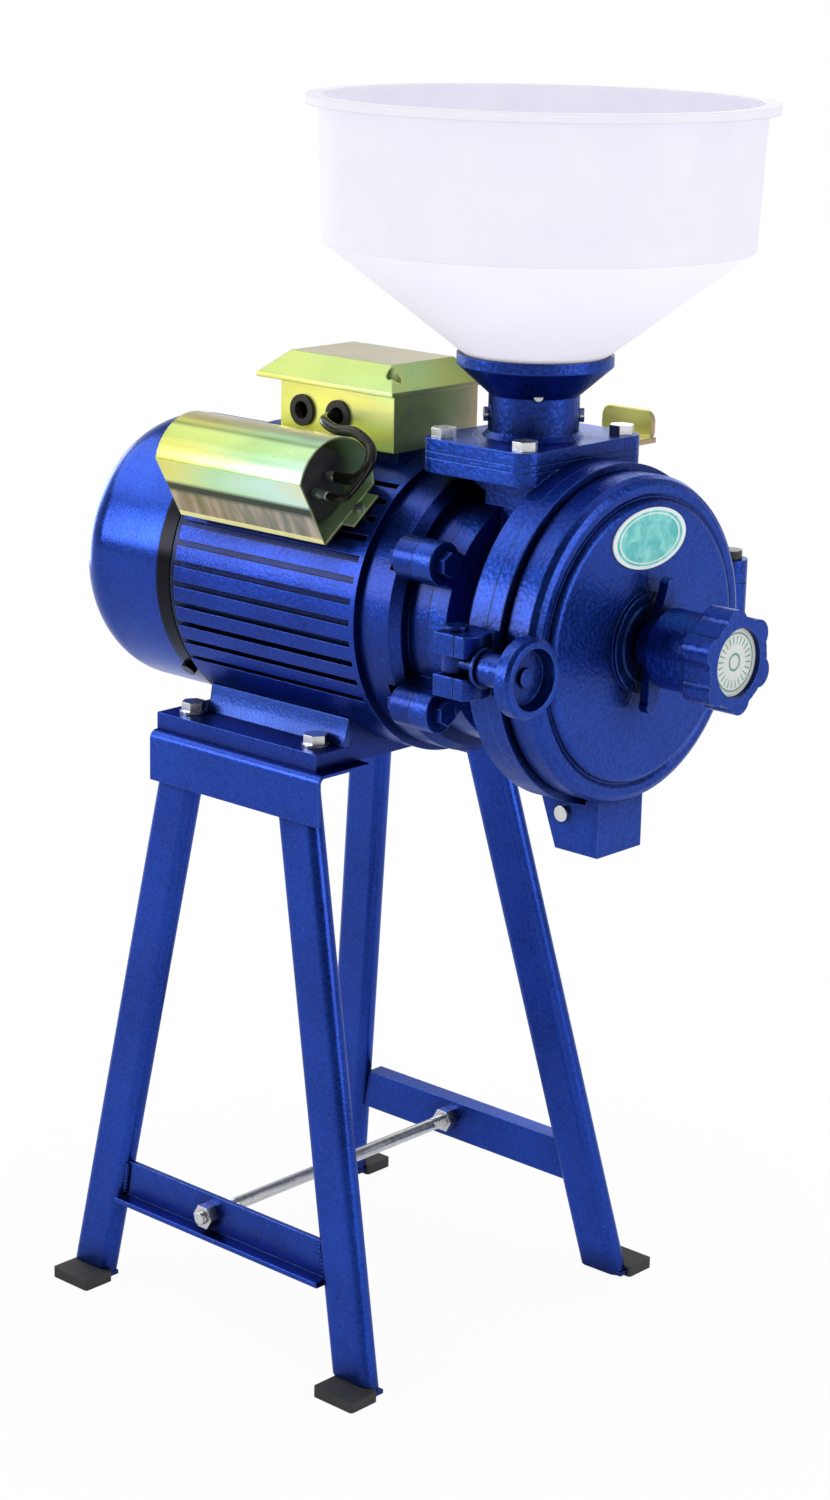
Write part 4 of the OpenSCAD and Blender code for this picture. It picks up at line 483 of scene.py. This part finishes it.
finishes["zinc_sheet"] = zinc_sheet("yellow_zinc", 0.27, 0.0)
cover_middle = float(middle("capacitor_cover")[0])
panel_foot = float(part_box("capacitor_cover")[0][2])
place_on_ramp, ramp_per_metre = 0.42, 3.6
fold_height, hem_under_fold = 0.019, 0.0155
cover_zinc = zinc_sheet("cover_zinc", place_on_ramp - ramp_per_metre * cover_middle, ramp_per_metre,
                        panel_foot + fold_height, hem_under_fold)
print("metals ready")

# %% [markdown]
# ## Finishes in rubber and plastic
# Boots and grommets are matt black rubber, fan and capacitor black plastic, and the hopper a milky moulded
# plastic that lets some light through. Flat colours would look cut out. Each gets a fine moulded grain,
# smudges in its shine and, on the hopper, a little light scattered under the skin. Its walls also get a faint
# painted glow, stronger on faces that look down and strongest on the cone, for the light that falls in
# through the open mouth. The hinge pin's black enamel is made the same way.


# %% Make the rubber and plastic finishes
def moulded(name, dark, light, rough, grain, depth, edge=0.0006, inside=0.0, mirror=0.5):
    """Moulded rubber or plastic between two tints, with grain per metre, light scattered inside and mirror
    strength; with light scattered inside it also gets a painted glow, stronger on faces that look down."""
    finish, tree, shader = start_finish(name)
    spot = object_spot(tree)
    skin = place(tree, "ShaderNodeTexNoise", {"Vector": spot, "Scale": grain, "Detail": 3.0})
    rim = use_group(tree, edge_group, Width=edge, Rub=1.6)
    marks = use_group(tree, smudge_group, Size=24.0, Dust=640.0)
    tint = blend_colours(tree, marks.outputs["Smudge"], dark, light)
    tree.links.new(tint, shader.inputs["Base Color"])
    gloss = calc(tree, "MULTIPLY_ADD", skin.outputs[0], 0.14, rough)
    gloss = calc(tree, "MULTIPLY_ADD", marks.outputs["Smudge"], 0.07, gloss)
    tree.links.new(gloss, shader.inputs["Roughness"])
    shader.inputs["Specular IOR Level"].default_value = mirror
    if inside:
        # A painted glow, stronger on faces that look down, stands for light coming in through the open mouth.
        upward = split(tree, place(tree, "ShaderNodeNewGeometry").outputs["Normal"])[2]
        painted_glow = map_range(tree, upward, 0.0, -0.7, 0.03, 0.24)
        tree.links.new(painted_glow, shader.inputs["Emission Strength"])
        shader.inputs["Emission Color"].default_value = (0.93, 0.92, 1.0, 1.0)
        shader.inputs["Subsurface Weight"].default_value = inside
        shader.inputs["Subsurface Radius"].default_value = (0.012, 0.011, 0.012)
        shader.inputs["Subsurface Scale"].default_value = 0.5
    relief(tree, shader, skin.outputs[0], depth, 0.0003, rim.outputs["Normal"])
    return finish


finishes["rubber"] = moulded("boot_rubber", (0.014, 0.014, 0.015), (0.030, 0.030, 0.031), 0.55, 900.0, 0.3)
finishes["black_plastic"] = moulded(
    "black_plastic", (0.016, 0.016, 0.018), (0.026, 0.026, 0.028), 0.34, 500.0, 0.12)
lead_sleeve = moulded(
    "lead_sleeve", (0.004, 0.004, 0.002), (0.008, 0.008, 0.004), 0.16, 300.0, 0.05, mirror=0.22)
finishes["black_metal"] = moulded(
    "black_enamel", (0.012, 0.012, 0.014), (0.022, 0.022, 0.025), 0.26, 400.0, 0.12)
finishes["white_plastic"] = moulded(
    "milky_plastic", (0.82, 0.80, 0.90), (0.85, 0.83, 0.92), 0.42, 90.0, 0.05, 0.0012, 0.25, 0.02)
print("mouldings ready")

# %% [markdown]
# ## Badge and knob disc
# The cover carries a teal oval badge with a pale rim, and the knob a white disc with a ring of adjusting
# marks. Decals would need pictures, so rings and marks are worked out from the distance and the angle round
# each centre.


# %% Make the badge and disc finishes
def centred(tree, name):
    """Object coordinates measured from the middle of a node, split into three values."""
    spot = object_spot(tree)
    moved = place(tree, "ShaderNodeVectorMath", {0: spot, 1: tuple(middle(name))}, operation="SUBTRACT")
    return split(tree, moved.outputs[0])


def between(tree, value, low, high):
    """1 where a value lies between two limits, 0 elsewhere."""
    over = calc(tree, "GREATER_THAN", value, low)
    return calc(tree, "MULTIPLY", over, calc(tree, "LESS_THAN", value, high))


outer_rim, inner_ring = 0.9, (0.79, 0.83)
finish, tree, shader = start_finish("oval_badge")
_, across, up = centred(tree, "cover_badge")
lowest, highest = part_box("cover_badge")
across = calc(tree, "DIVIDE", across, (highest[1] - lowest[1]) / 2)
up = calc(tree, "DIVIDE", up, (highest[2] - lowest[2]) / 2)
reach = calc(tree, "SQRT", calc(tree, "MULTIPLY_ADD", across, across, calc(tree, "MULTIPLY", up, up)))
marks = use_group(tree, smudge_group, Size=120.0, Dust=1500.0)
teal = blend_colours(tree, marks.outputs["Smudge"], (0.075, 0.50, 0.50), (0.26, 0.76, 0.72))
rim = calc(tree, "MAXIMUM", calc(tree, "GREATER_THAN", reach, outer_rim), between(tree, reach, *inner_ring))
tree.links.new(blend_colours(tree, rim, teal, (0.80, 0.88, 0.88)), shader.inputs["Base Color"])
tree.links.new(calc(tree, "MULTIPLY_ADD", marks.outputs["Smudge"], 0.12, 0.22), shader.inputs["Roughness"])
relief(tree, shader, rim, 0.4, 0.0002)
finishes["badge_film"] = finish

mark_count, mark_share, mark_span = 24.0, (0.38, 0.62), (0.52, 0.76)
outer_ring, hub_ring = (0.82, 0.87), (0.2, 0.27)
whole_turns = 100.0
finish, tree, shader = start_finish("marked_disc")
_, across, up = centred(tree, "knob_cap")
lowest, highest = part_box("knob_cap")
reach = calc(tree, "SQRT", calc(tree, "MULTIPLY_ADD", across, across, calc(tree, "MULTIPLY", up, up)))
reach = calc(tree, "DIVIDE", reach, (highest[1] - lowest[1]) / 2)
around = calc(tree, "MULTIPLY_ADD", calc(tree, "ARCTAN2", up, across), mark_count / (2 * math.pi), whole_turns)
mark = between(tree, calc(tree, "FRACT", around), *mark_share)
mark = calc(tree, "MULTIPLY", mark, between(tree, reach, *mark_span))
for ring in (outer_ring, hub_ring):
    mark = calc(tree, "MAXIMUM", mark, between(tree, reach, *ring))
marks = use_group(tree, smudge_group, Size=160.0, Dust=1400.0)
white = blend_colours(tree, marks.outputs["Smudge"], (0.70, 0.74, 0.72), (0.60, 0.64, 0.62))
tree.links.new(blend_colours(tree, mark, white, (0.12, 0.30, 0.24)), shader.inputs["Base Color"])
tree.links.new(calc(tree, "MULTIPLY_ADD", marks.outputs["Smudge"], 0.12, 0.26), shader.inputs["Roughness"])
relief(tree, shader, mark, 0.25, 0.0001)
finishes["white_disc"] = finish
print("badge and disc ready")

# %% [markdown]
# ## Dressing the solids
# Each solid names the finish that its real piece has, so the finishes can be handed out in one pass. Four
# have a finish of their own: the shield in the slot behind the fins is almost black as a painted shadow and
# the one in front of them a darker blue as painted shade, the capacitor cover's zinc carries painted
# reflections and a painted shade at its fold, and the fan cover's screws take the cover's enamel with its
# painted shadow band.

# %% Hand out the finishes
slot_of = {part["node"]: part["material_slot"] for part in frame["record"]["subparts"]}
# The shields get painted shadow and painted shade, the capacitor cover painted reflections, and the fan
# cover's screws the cover's painted shadow band.
own_finish = {
    "rear_end_shield": shadow_enamel,
    "front_end_shield": painted_shade_enamel,
    "capacitor_cover": cover_zinc,
    "fan_cover_screws": finishes["sheet_paint"],
}
for name, solid in nodes.items():
    chosen = own_finish.get(name, finishes[slot_of[name]])
    solid.data.materials.clear()
    solid.data.materials.append(chosen)
print("dressed", len(nodes), "solids in", len(set(slot_of.values())), "finishes")

# %% [markdown]
# ## Surfaces from arrays
# New pieces are sheets of points: ring after ring along a path. They could be turned or extruded with mesh
# tools, but as arrays the formula stays in view. One function joins the rings with quads, closes both ends
# with fans and gives the result to Blender in one go.


# %% Helpers for surfaces
def make_piece(name, rings, slot, body, finish=None):
    """A closed tube from an array of rings by sides by 3, or a list of such arrays joined in one piece.

    Neighbouring rings are joined by quads whose corners run round the tube, and each end is a fan of
    triangles to the ring's own middle.
    """
    points, faces, start = [], [], 0
    for part in (rings if isinstance(rings, list) else [rings]):
        count, sides, _ = part.shape
        ends = part[[0, -1]].mean(axis=1)
        points.append(np.concatenate([part.reshape(-1, 3), ends]))
        ring, step = np.meshgrid(np.arange(count - 1), np.arange(sides), indexing="ij")
        a = ring * sides + step
        b = ring * sides + (step + 1) % sides
        quads = np.stack([a, b, b + sides, a + sides], axis=-1).reshape(-1, 4)
        one = np.arange(sides)
        two = (one + 1) % sides
        last = (count - 1) * sides
        caps = np.concatenate([
            np.stack([two, one, np.full(sides, count * sides)], axis=-1),
            np.stack([one + last, two + last, np.full(sides, count * sides + 1)], axis=-1)])
        faces += (quads + start).tolist() + (caps + start).tolist()
        start += count * sides + 2
    mesh = bpy.data.meshes.new(name)
    mesh.from_pydata(np.concatenate(points).tolist(), [], faces)
    mesh.polygons.foreach_set("use_smooth", np.array([len(f) == 4 for f in faces]))
    mesh.update()
    piece = bpy.data.objects.new(name, mesh)
    bpy.context.collection.objects.link(piece)
    mesh.materials.append(finish or finishes[slot])
    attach(piece, body)
    return piece


def tube_along(path, radius, sides=20):
    """Rings round a path of points: each ring lies across the path's own direction there.

    The direction is the central difference of the points. The first ring's zero angle comes from any
    direction across the path, and each later one is the one before with its part along the path taken out.
    """
    ahead = np.gradient(path, axis=0)
    ahead /= np.linalg.norm(ahead, axis=1, keepdims=True)
    any_way = [0.31, 0.17, 0.93]
    first = np.cross(ahead[0], any_way)
    across = np.empty_like(path)
    for i, way in enumerate(ahead):
        first = first - way * (first @ way)
        first = first / np.linalg.norm(first)
        across[i] = first
    upward = np.cross(ahead, across)
    angle = np.linspace(0.0, 2 * np.pi, sides, endpoint=False)
    reach = np.broadcast_to(np.asarray(radius, float).reshape(-1, 1, 1), (len(path), 1, 1))
    return path[:, None] + reach * (
        across[:, None] * np.cos(angle)[None, :, None] + upward[:, None] * np.sin(angle)[None, :, None])


def through(points, per_span=10):
    """A smooth path through points: on each span a cubic, its slope at a point half the step over it."""
    p = np.vstack([2 * points[0] - points[1], points, 2 * points[-1] - points[-2]])
    t = np.linspace(0.0, 1.0, per_span, endpoint=False)[None, :, None]
    p0, p1, p2, p3 = p[:-3, None], p[1:-2, None], p[2:-1, None], p[3:, None]
    bend = 2 * p0 - 5 * p1 + 4 * p2 - p3
    twist = 3 * p1 - p0 - 3 * p2 + p3
    curve = 0.5 * (2 * p1 + (p2 - p0) * t + bend * t**2 + twist * t**3)
    return np.vstack([curve.reshape(-1, 3), points[-1:]])


print("surface helpers ready")

# %% [markdown]
# ## Screw threads
# The adjusting screw and the tie rod are threaded. A thread could be bump only, but a real ridge also shows
# at the edge of the rod. Its radius is a wave of the distance along the rod, shifted by one pitch in each
# turn, cut flat at crest and root, and it runs out to the plain shank at both ends.


# %% Make the threaded pieces
def threaded(stations, radius, pitch, depth, on, sides=40):
    """Rings of a rod along X: radius less depth times a flattened triangle wave of distance over pitch minus
    turn.

    stations are the distances, radius the plain radius at each, and on, between 0 and 1, where it is cut.
    """
    steep, flat_share = 1.5, 0.25
    angle = np.linspace(0.0, 2 * np.pi, sides, endpoint=False)
    phase = (stations[:, None] / pitch - angle[None, :] / (2 * np.pi)) % 1.0
    groove = np.clip(steep * np.abs(2 * phase - 1.0) - flat_share, 0.0, 1.0)
    reach = radius[:, None] - depth * groove * on[:, None]
    along_x = np.broadcast_to(stations[:, None], reach.shape)
    return np.stack([along_x, reach * np.cos(angle), reach * np.sin(angle)], axis=-1)


low, high = np.array(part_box("adjusting_screw"))
knob_seat, step_down, chamfer, hair = 0.012, 0.002, 0.0006, 0.00001
screw_pitch, screw_depth, run_in, run_out = 0.0025, 0.0011, 0.003, 0.002
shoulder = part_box("adjusting_knob")[0][0] + knob_seat
rod_r = (high[2] - low[2]) / 2
thread_steps = np.linspace(low[0], shoulder, 260)
along = np.concatenate([thread_steps, [shoulder + hair, high[0] - chamfer, high[0]]])
plain = np.where(along <= shoulder, rod_r, rod_r - step_down)
plain[[0, -1]] -= chamfer
cut = np.clip((along - low[0]) / run_in, 0.0, 1.0) * np.clip((shoulder - along) / run_out, 0.0, 1.0)
rod = threaded(along, plain, screw_pitch, screw_depth, cut, sides=48) + np.array([0.0, 0.0, shaft_z])
screw = make_piece("adjusting_screw_threaded", rod, "steel", "adjuster")
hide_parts("adjusting_screw")

low, high = np.array(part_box("tie_rod"))
half = (high[1] - low[1]) / 2
rod_r = (high[2] - low[2]) / 2
thread_l, plain_from, tie_pitch, tie_depth = 0.03, 0.034, 0.00125, 0.0005
tie_chamfer, tie_run_in = 0.0007, 0.0012
end = np.linspace(0.0, thread_l, 200)
shank = np.linspace(-half + plain_from, half - plain_from, 24)
along = np.concatenate([-half + end, shank, half - end[::-1]])
plain = np.full(along.shape, rod_r)
plain[[0, -1]] -= tie_chamfer
from_end = half - np.abs(along)
cut = np.clip(from_end / tie_run_in, 0.0, 1.0) * np.clip((thread_l - from_end) / run_out, 0.0, 1.0)
rod = threaded(along, plain, tie_pitch, tie_depth, cut, sides=28)
rod = np.stack([rod[..., 1], rod[..., 0], -rod[..., 2]], axis=-1) + middle("tie_rod")
tie = make_piece("tie_rod_threaded", rod, "steel", "machine")
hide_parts("tie_rod")
print("threads", len(screw.data.polygons), "and", len(tie.data.polygons), "faces")

# %% [markdown]
# ## Leads of the capacitor
# Two insulated leads come out of the box through the second grommet in one sleeve, bend over the
# capacitor's end and part to its two posts. They could be curves with a bevel. Here a tube follows a smooth
# path through the route's own points, and two folded lugs sit on the posts.

# %% Make the leads
mm = 0.001
lead_r, branch_r = 3.1 * mm, 2.1 * mm
out_of_box = np.array([feed_x - 0.1135, -0.034, 0.540])
post = np.array([feed_x - 0.076, -0.07625, 0.5155])
other_post = np.array([feed_x - 0.076, -0.08736, 0.50697])
route = np.vstack([
    out_of_box + mm * np.array([[0, 0, 0], [0, -10, 0], [6, -18, -1], [20, -23, -3]]),
    post + mm * np.array([[-2, 18, 22], [12, 14.5, 16], [18, 7, 8], [15, 1, 1], [7, 0, 0], [0, 0, 0]])])
branch = np.vstack([
    post + mm * np.array([[16.5, 9.5, 11], [19, 3, 4]]),
    other_post + mm * np.array([[18, 2, 2], [13, 0, 0], [6, 0, 0], [0, 0, 0]])])
both_tubes = [tube_along(through(route), lead_r), tube_along(through(branch), branch_r, sides=14)]
leads = make_piece("capacitor_lead_pair", both_tubes, "black_plastic", "machine", lead_sleeve)
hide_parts("capacitor_leads")


def lug(at):
    """A folded lug on a post: a sleeve along X whose radius swells from the crimp to an open collar."""
    along = np.array([-0.005, -0.005, -0.0046, 0.0, 0.0005, 0.005, 0.0053, 0.0053])
    reach = np.array([0.0027, 0.0034, 0.0036, 0.0036, 0.0031, 0.0030, 0.0029, 0.0026])
    squash = 0.82
    angle = np.linspace(0.0, 2 * np.pi, 24, endpoint=False)
    along_x = np.broadcast_to(along[:, None], (len(along), len(angle)))
    reach = reach[:, None]
    return np.stack([along_x, reach * np.cos(angle), squash * reach * np.sin(angle)], axis=-1) + at


lugs = make_piece("capacitor_lugs", [lug(post), lug(other_post)], "steel", "machine")
print("leads", len(leads.data.polygons), "faces, lugs", len(lugs.data.polygons))

# %% [markdown]
# ## Weld beads
# The cross bars are welded to the legs and the bead is left as it is under the paint. It could be a bump,
# but a bead catches light along its whole length, so it is a thin tube up each joint whose radius swells
# and shrinks like a row of overlapping drops.


# %% Make the welds
def bead(low_end, high_end, radius, drops):
    """A tube between two points: its radius is a rectified sine along its length and tapers at both ends."""
    thinnest, swelling, taper_rate, tip = 0.72, 0.28, 14.0, 0.25
    t = np.linspace(0.0, 1.0, drops * 8 + 1)
    path = low_end + (high_end - low_end) * t[:, None]
    swell = thinnest + swelling * np.abs(np.sin(np.pi * drops * t))
    taper = np.clip(np.minimum(t, 1 - t) * taper_rate, tip, 1.0)
    return tube_along(path, radius * swell * taper, sides=14)


rear_lean, front_lean = 0.1416, 0.2486
bead_r, bead_drops, into_corner = 0.0019, 9, 0.0034
lip_room, edge_room = 0.0035, 0.0005
beads = []
for name, sign, room_below, room_above in (("near_cross_bar", -1.0, lip_room, edge_room),
                                           ("far_cross_bar", 1.0, edge_room, lip_room)):
    low, high = np.array(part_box(name))
    face = (high[1] if sign < 0 else low[1]) + sign * into_corner
    tall = high[2] - low[2]
    for foot, lean in ((low[0], rear_lean), (high[0], -front_lean)):
        ends = [np.array([foot + lean * t, face, low[2] + t]) for t in (room_below, tall - room_above)]
        beads.append(bead(*ends, bead_r, bead_drops))
welds = make_piece("stand_welds", beads, "stand_paint", "machine")
print("welds", len(beads), "beads", len(welds.data.polygons), "faces")

# %% [markdown]
# ## Slopes on the motor's feet
# On the casting the block under the barrel doesn't stand square on the feet: a slope leads down to them on
# both sides. It catches the light from above, and its paint is made a little paler there as a painted
# highlight. A new frame could be drawn for it, but a wedge along the block is enough, sunk a little into it
# so that no seam shows.


# %% Make the slopes
def wedge(x0, x1, y, z, reach, height, side, steps=24):
    """Rings along X of a three-cornered slope whose long face is bowed in by a sine of its own length."""
    proud, sunk, below, round_end, bow_depth, end_share = 0.001, 0.002, 0.001, 0.0008, 0.0006, 0.94
    t = np.linspace(0.0, 1.0, steps)
    bow = bow_depth * np.sin(np.pi * t)
    face = np.stack([y + side * (proud + reach * (1 - t) - bow), z + height * t - bow], axis=-1)
    inner = y - side * sunk
    section = np.vstack([face, [[inner, z + height], [inner, z - below], [y + side * reach, z - below]]])
    stations = np.array([x0, x0 + round_end, x1 - round_end, x1])
    shrink = np.array([end_share, 1.0, 1.0, end_share])
    middle_of_section = section.mean(axis=0)
    ring = middle_of_section + (section - middle_of_section)[None] * shrink[:, None, None]
    along_x = np.broadcast_to(stations[:, None, None], ring.shape[:2] + (1,))
    rings = np.concatenate([along_x, ring], axis=-1)
    return rings if side > 0 else rings[:, ::-1]


low = np.array(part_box("motor_frame")[0])
foot_thick, block_inset, block_l, block_half = 0.010, 0.019, 0.111, 0.0577
slope_reach, slope_height = 0.0042, 0.0165
foot_top = low[2] + foot_thick
block_x0 = low[0] + block_inset
wedges = [wedge(block_x0, block_x0 + block_l, sign * block_half, foot_top, slope_reach, slope_height, sign)
          for sign in (-1.0, 1.0)]
# The slopes wear a paler enamel as a painted highlight.
slopes = make_piece("foot_slopes", wedges, "motor_paint", "machine", painted_highlight_enamel)
print("slopes", len(slopes.data.polygons), "faces")

# %% [markdown]
# ## Floor and light
# A pale floor runs into a white background, as in a product picture. More light would only bleach the
# paint, so the white comes from what the camera sees. Behind the machine stands a bright backdrop, and the
# room on the camera's side is dim: that gives metallic paint its bright rims and deep faces. The lamps only
# add shine.


# %% Make floor, world and lamps
def behind_machine(tree, vector):
    """How far a point or a way lies behind the machine as the camera sees it: its product with that way."""
    away_from_camera = (-0.67, 0.74, 0.0)
    made = place(tree, "ShaderNodeVectorMath", {0: vector, 1: away_from_camera}, operation="DOT_PRODUCT")
    return made.outputs["Value"]


finish = bpy.data.materials.new("pale_floor")
finish.use_nodes = True
tree = finish.node_tree
tree.nodes.clear()
spot = object_spot(tree)
away = place(tree, "ShaderNodeVectorMath", {0: spot}, operation="LENGTH").outputs["Value"]
shaded_r, open_r, shaded_white = 0.1, 0.5, 0.93
fade = map_range(tree, away, shaded_r, open_r, shaded_white, 1.0)
ray = place(tree, "ShaderNodeLightPath").outputs
behind = behind_machine(tree, spot)
near_grey, far_grey = 0.18, 0.75
far = map_range(tree, behind, -0.2, 0.6, near_grey, far_grey)
# What the paint mirrors of the floor: dim grey close round the machine as a painted shadow, bright from about
# 1 m to 2 m, dim again far out.
pool_r, stand_r = 3.0, 0.6
mirrored_floor_greys = ((0.0, 0.15), (0.2, 0.22), (0.33, 0.8), (0.7, 0.8), (0.95, 0.2))
pool = ramp(tree, calc(tree, "DIVIDE", away, pool_r), [(share, (grey,) * 3) for share, grey in mirrored_floor_greys])
sweep = calc(tree, "MAXIMUM", pool, calc(tree, "MULTIPLY", far, calc(tree, "GREATER_THAN", away, stand_r)))
dim = calc(tree, "MULTIPLY", calc(tree, "MAXIMUM", ray["Is Glossy Ray"], ray["Is Transmission Ray"]), sweep)
seen = calc(tree, "MAXIMUM", ray["Is Camera Ray"], dim)
lit = place(tree, "ShaderNodeBsdfDiffuse", {"Color": (0.9, 0.9, 0.9, 1.0)})
white = place(tree, "ShaderNodeEmission", {"Color": (1.0, 1.0, 1.0, 1.0), "Strength": 1.0})
whiteness = calc(tree, "MULTIPLY", fade, seen)
both = place(tree, "ShaderNodeMixShader", {0: whiteness, 1: lit.outputs[0], 2: white.outputs[0]})
tree.links.new(both.outputs[0], place(tree, "ShaderNodeOutputMaterial").inputs["Surface"])

floor_half, floor_z = 8.0, -0.0004
floor_corners = [(x * floor_half, y * floor_half, floor_z) for x, y in ((-1, -1), (1, -1), (1, 1), (-1, 1))]
floor_mesh = bpy.data.meshes.new("floor")
floor_mesh.from_pydata(floor_corners, [], [(0, 1, 2, 3)])
floor_mesh.materials.append(finish)
floor = bpy.data.objects.new("floor", floor_mesh)
bpy.context.collection.objects.link(floor)

room = bpy.data.worlds.new("studio_room")
bpy.context.scene.world = room
room.use_nodes = True
tree = room.node_tree
tree.nodes.clear()
ray = place(tree, "ShaderNodeLightPath").outputs
way = place(tree, "ShaderNodeTexCoord").outputs["Generated"]
height = split(tree, way)[2]
behind = behind_machine(tree, way)
backdrop_light, low_wall_light, high_wall_light, soft_light = 0.75, 0.15, 0.05, 1.05
backdrop = map_range(tree, behind, 0.0, 0.7, 0.0, backdrop_light, "SMOOTHSTEP")
below_top = map_range(tree, height, 0.35, 0.65, 1.0, 0.0, "SMOOTHSTEP")
walls = map_range(tree, height, 0.0, 0.5, low_wall_light, high_wall_light)
mirrored = calc(tree, "MAXIMUM", ray["Is Glossy Ray"], ray["Is Transmission Ray"])
shine = calc(tree, "MULTIPLY", mirrored, calc(tree, "MULTIPLY_ADD", backdrop, below_top, walls))
shown = calc(tree, "MAXIMUM", ray["Is Camera Ray"], shine)
other = calc(tree, "LESS_THAN", calc(tree, "MAXIMUM", ray["Is Camera Ray"], mirrored), 0.5)
soft = calc(tree, "MULTIPLY", other, soft_light)
strength = calc(tree, "ADD", shown, soft)
sky = place(tree, "ShaderNodeBackground", {"Color": (1.0, 1.0, 1.0, 1.0), "Strength": strength})
tree.links.new(sky.outputs[0], place(tree, "ShaderNodeOutputWorld").inputs["Surface"])

aim_z = 0.42


def softbox(name, at, width, watts):
    """A square area lamp at a point, turned towards the middle of the machine."""
    lamp = bpy.data.lights.new(name, "AREA")
    lamp.shape, lamp.size, lamp.energy = "SQUARE", width, watts
    made = bpy.data.objects.new(name, lamp)
    at = np.array(at, float)
    toward = at - np.array([0.0, 0.0, aim_z])
    toward /= np.linalg.norm(toward)
    right = np.cross([0.0, 0.0, 1.0], toward)
    right /= np.linalg.norm(right)
    lamp_turn = np.eye(4)
    lamp_turn[:3] = np.stack([right, np.cross(toward, right), toward, at], axis=-1)
    made.matrix_world = Matrix(lamp_turn.tolist())
    made.visible_diffuse = False
    bpy.context.collection.objects.link(made)
    return made


lamps = [
    softbox("key_box", (-1.35, -0.30, 1.95), 1.6, 20.0),
    softbox("side_box", (-1.30, -1.65, 1.02), 0.9, 20.0),
    softbox("left_box", (-2.1, 0.35, 0.45), 1.0, 14.0),
    softbox("front_box", (2.3, 0.5, 1.1), 1.5, 28.0),
    softbox("back_box", (-0.9, 2.0, 1.2), 1.2, 6.0),
]
print("lamps", [lamp.name for lamp in lamps])
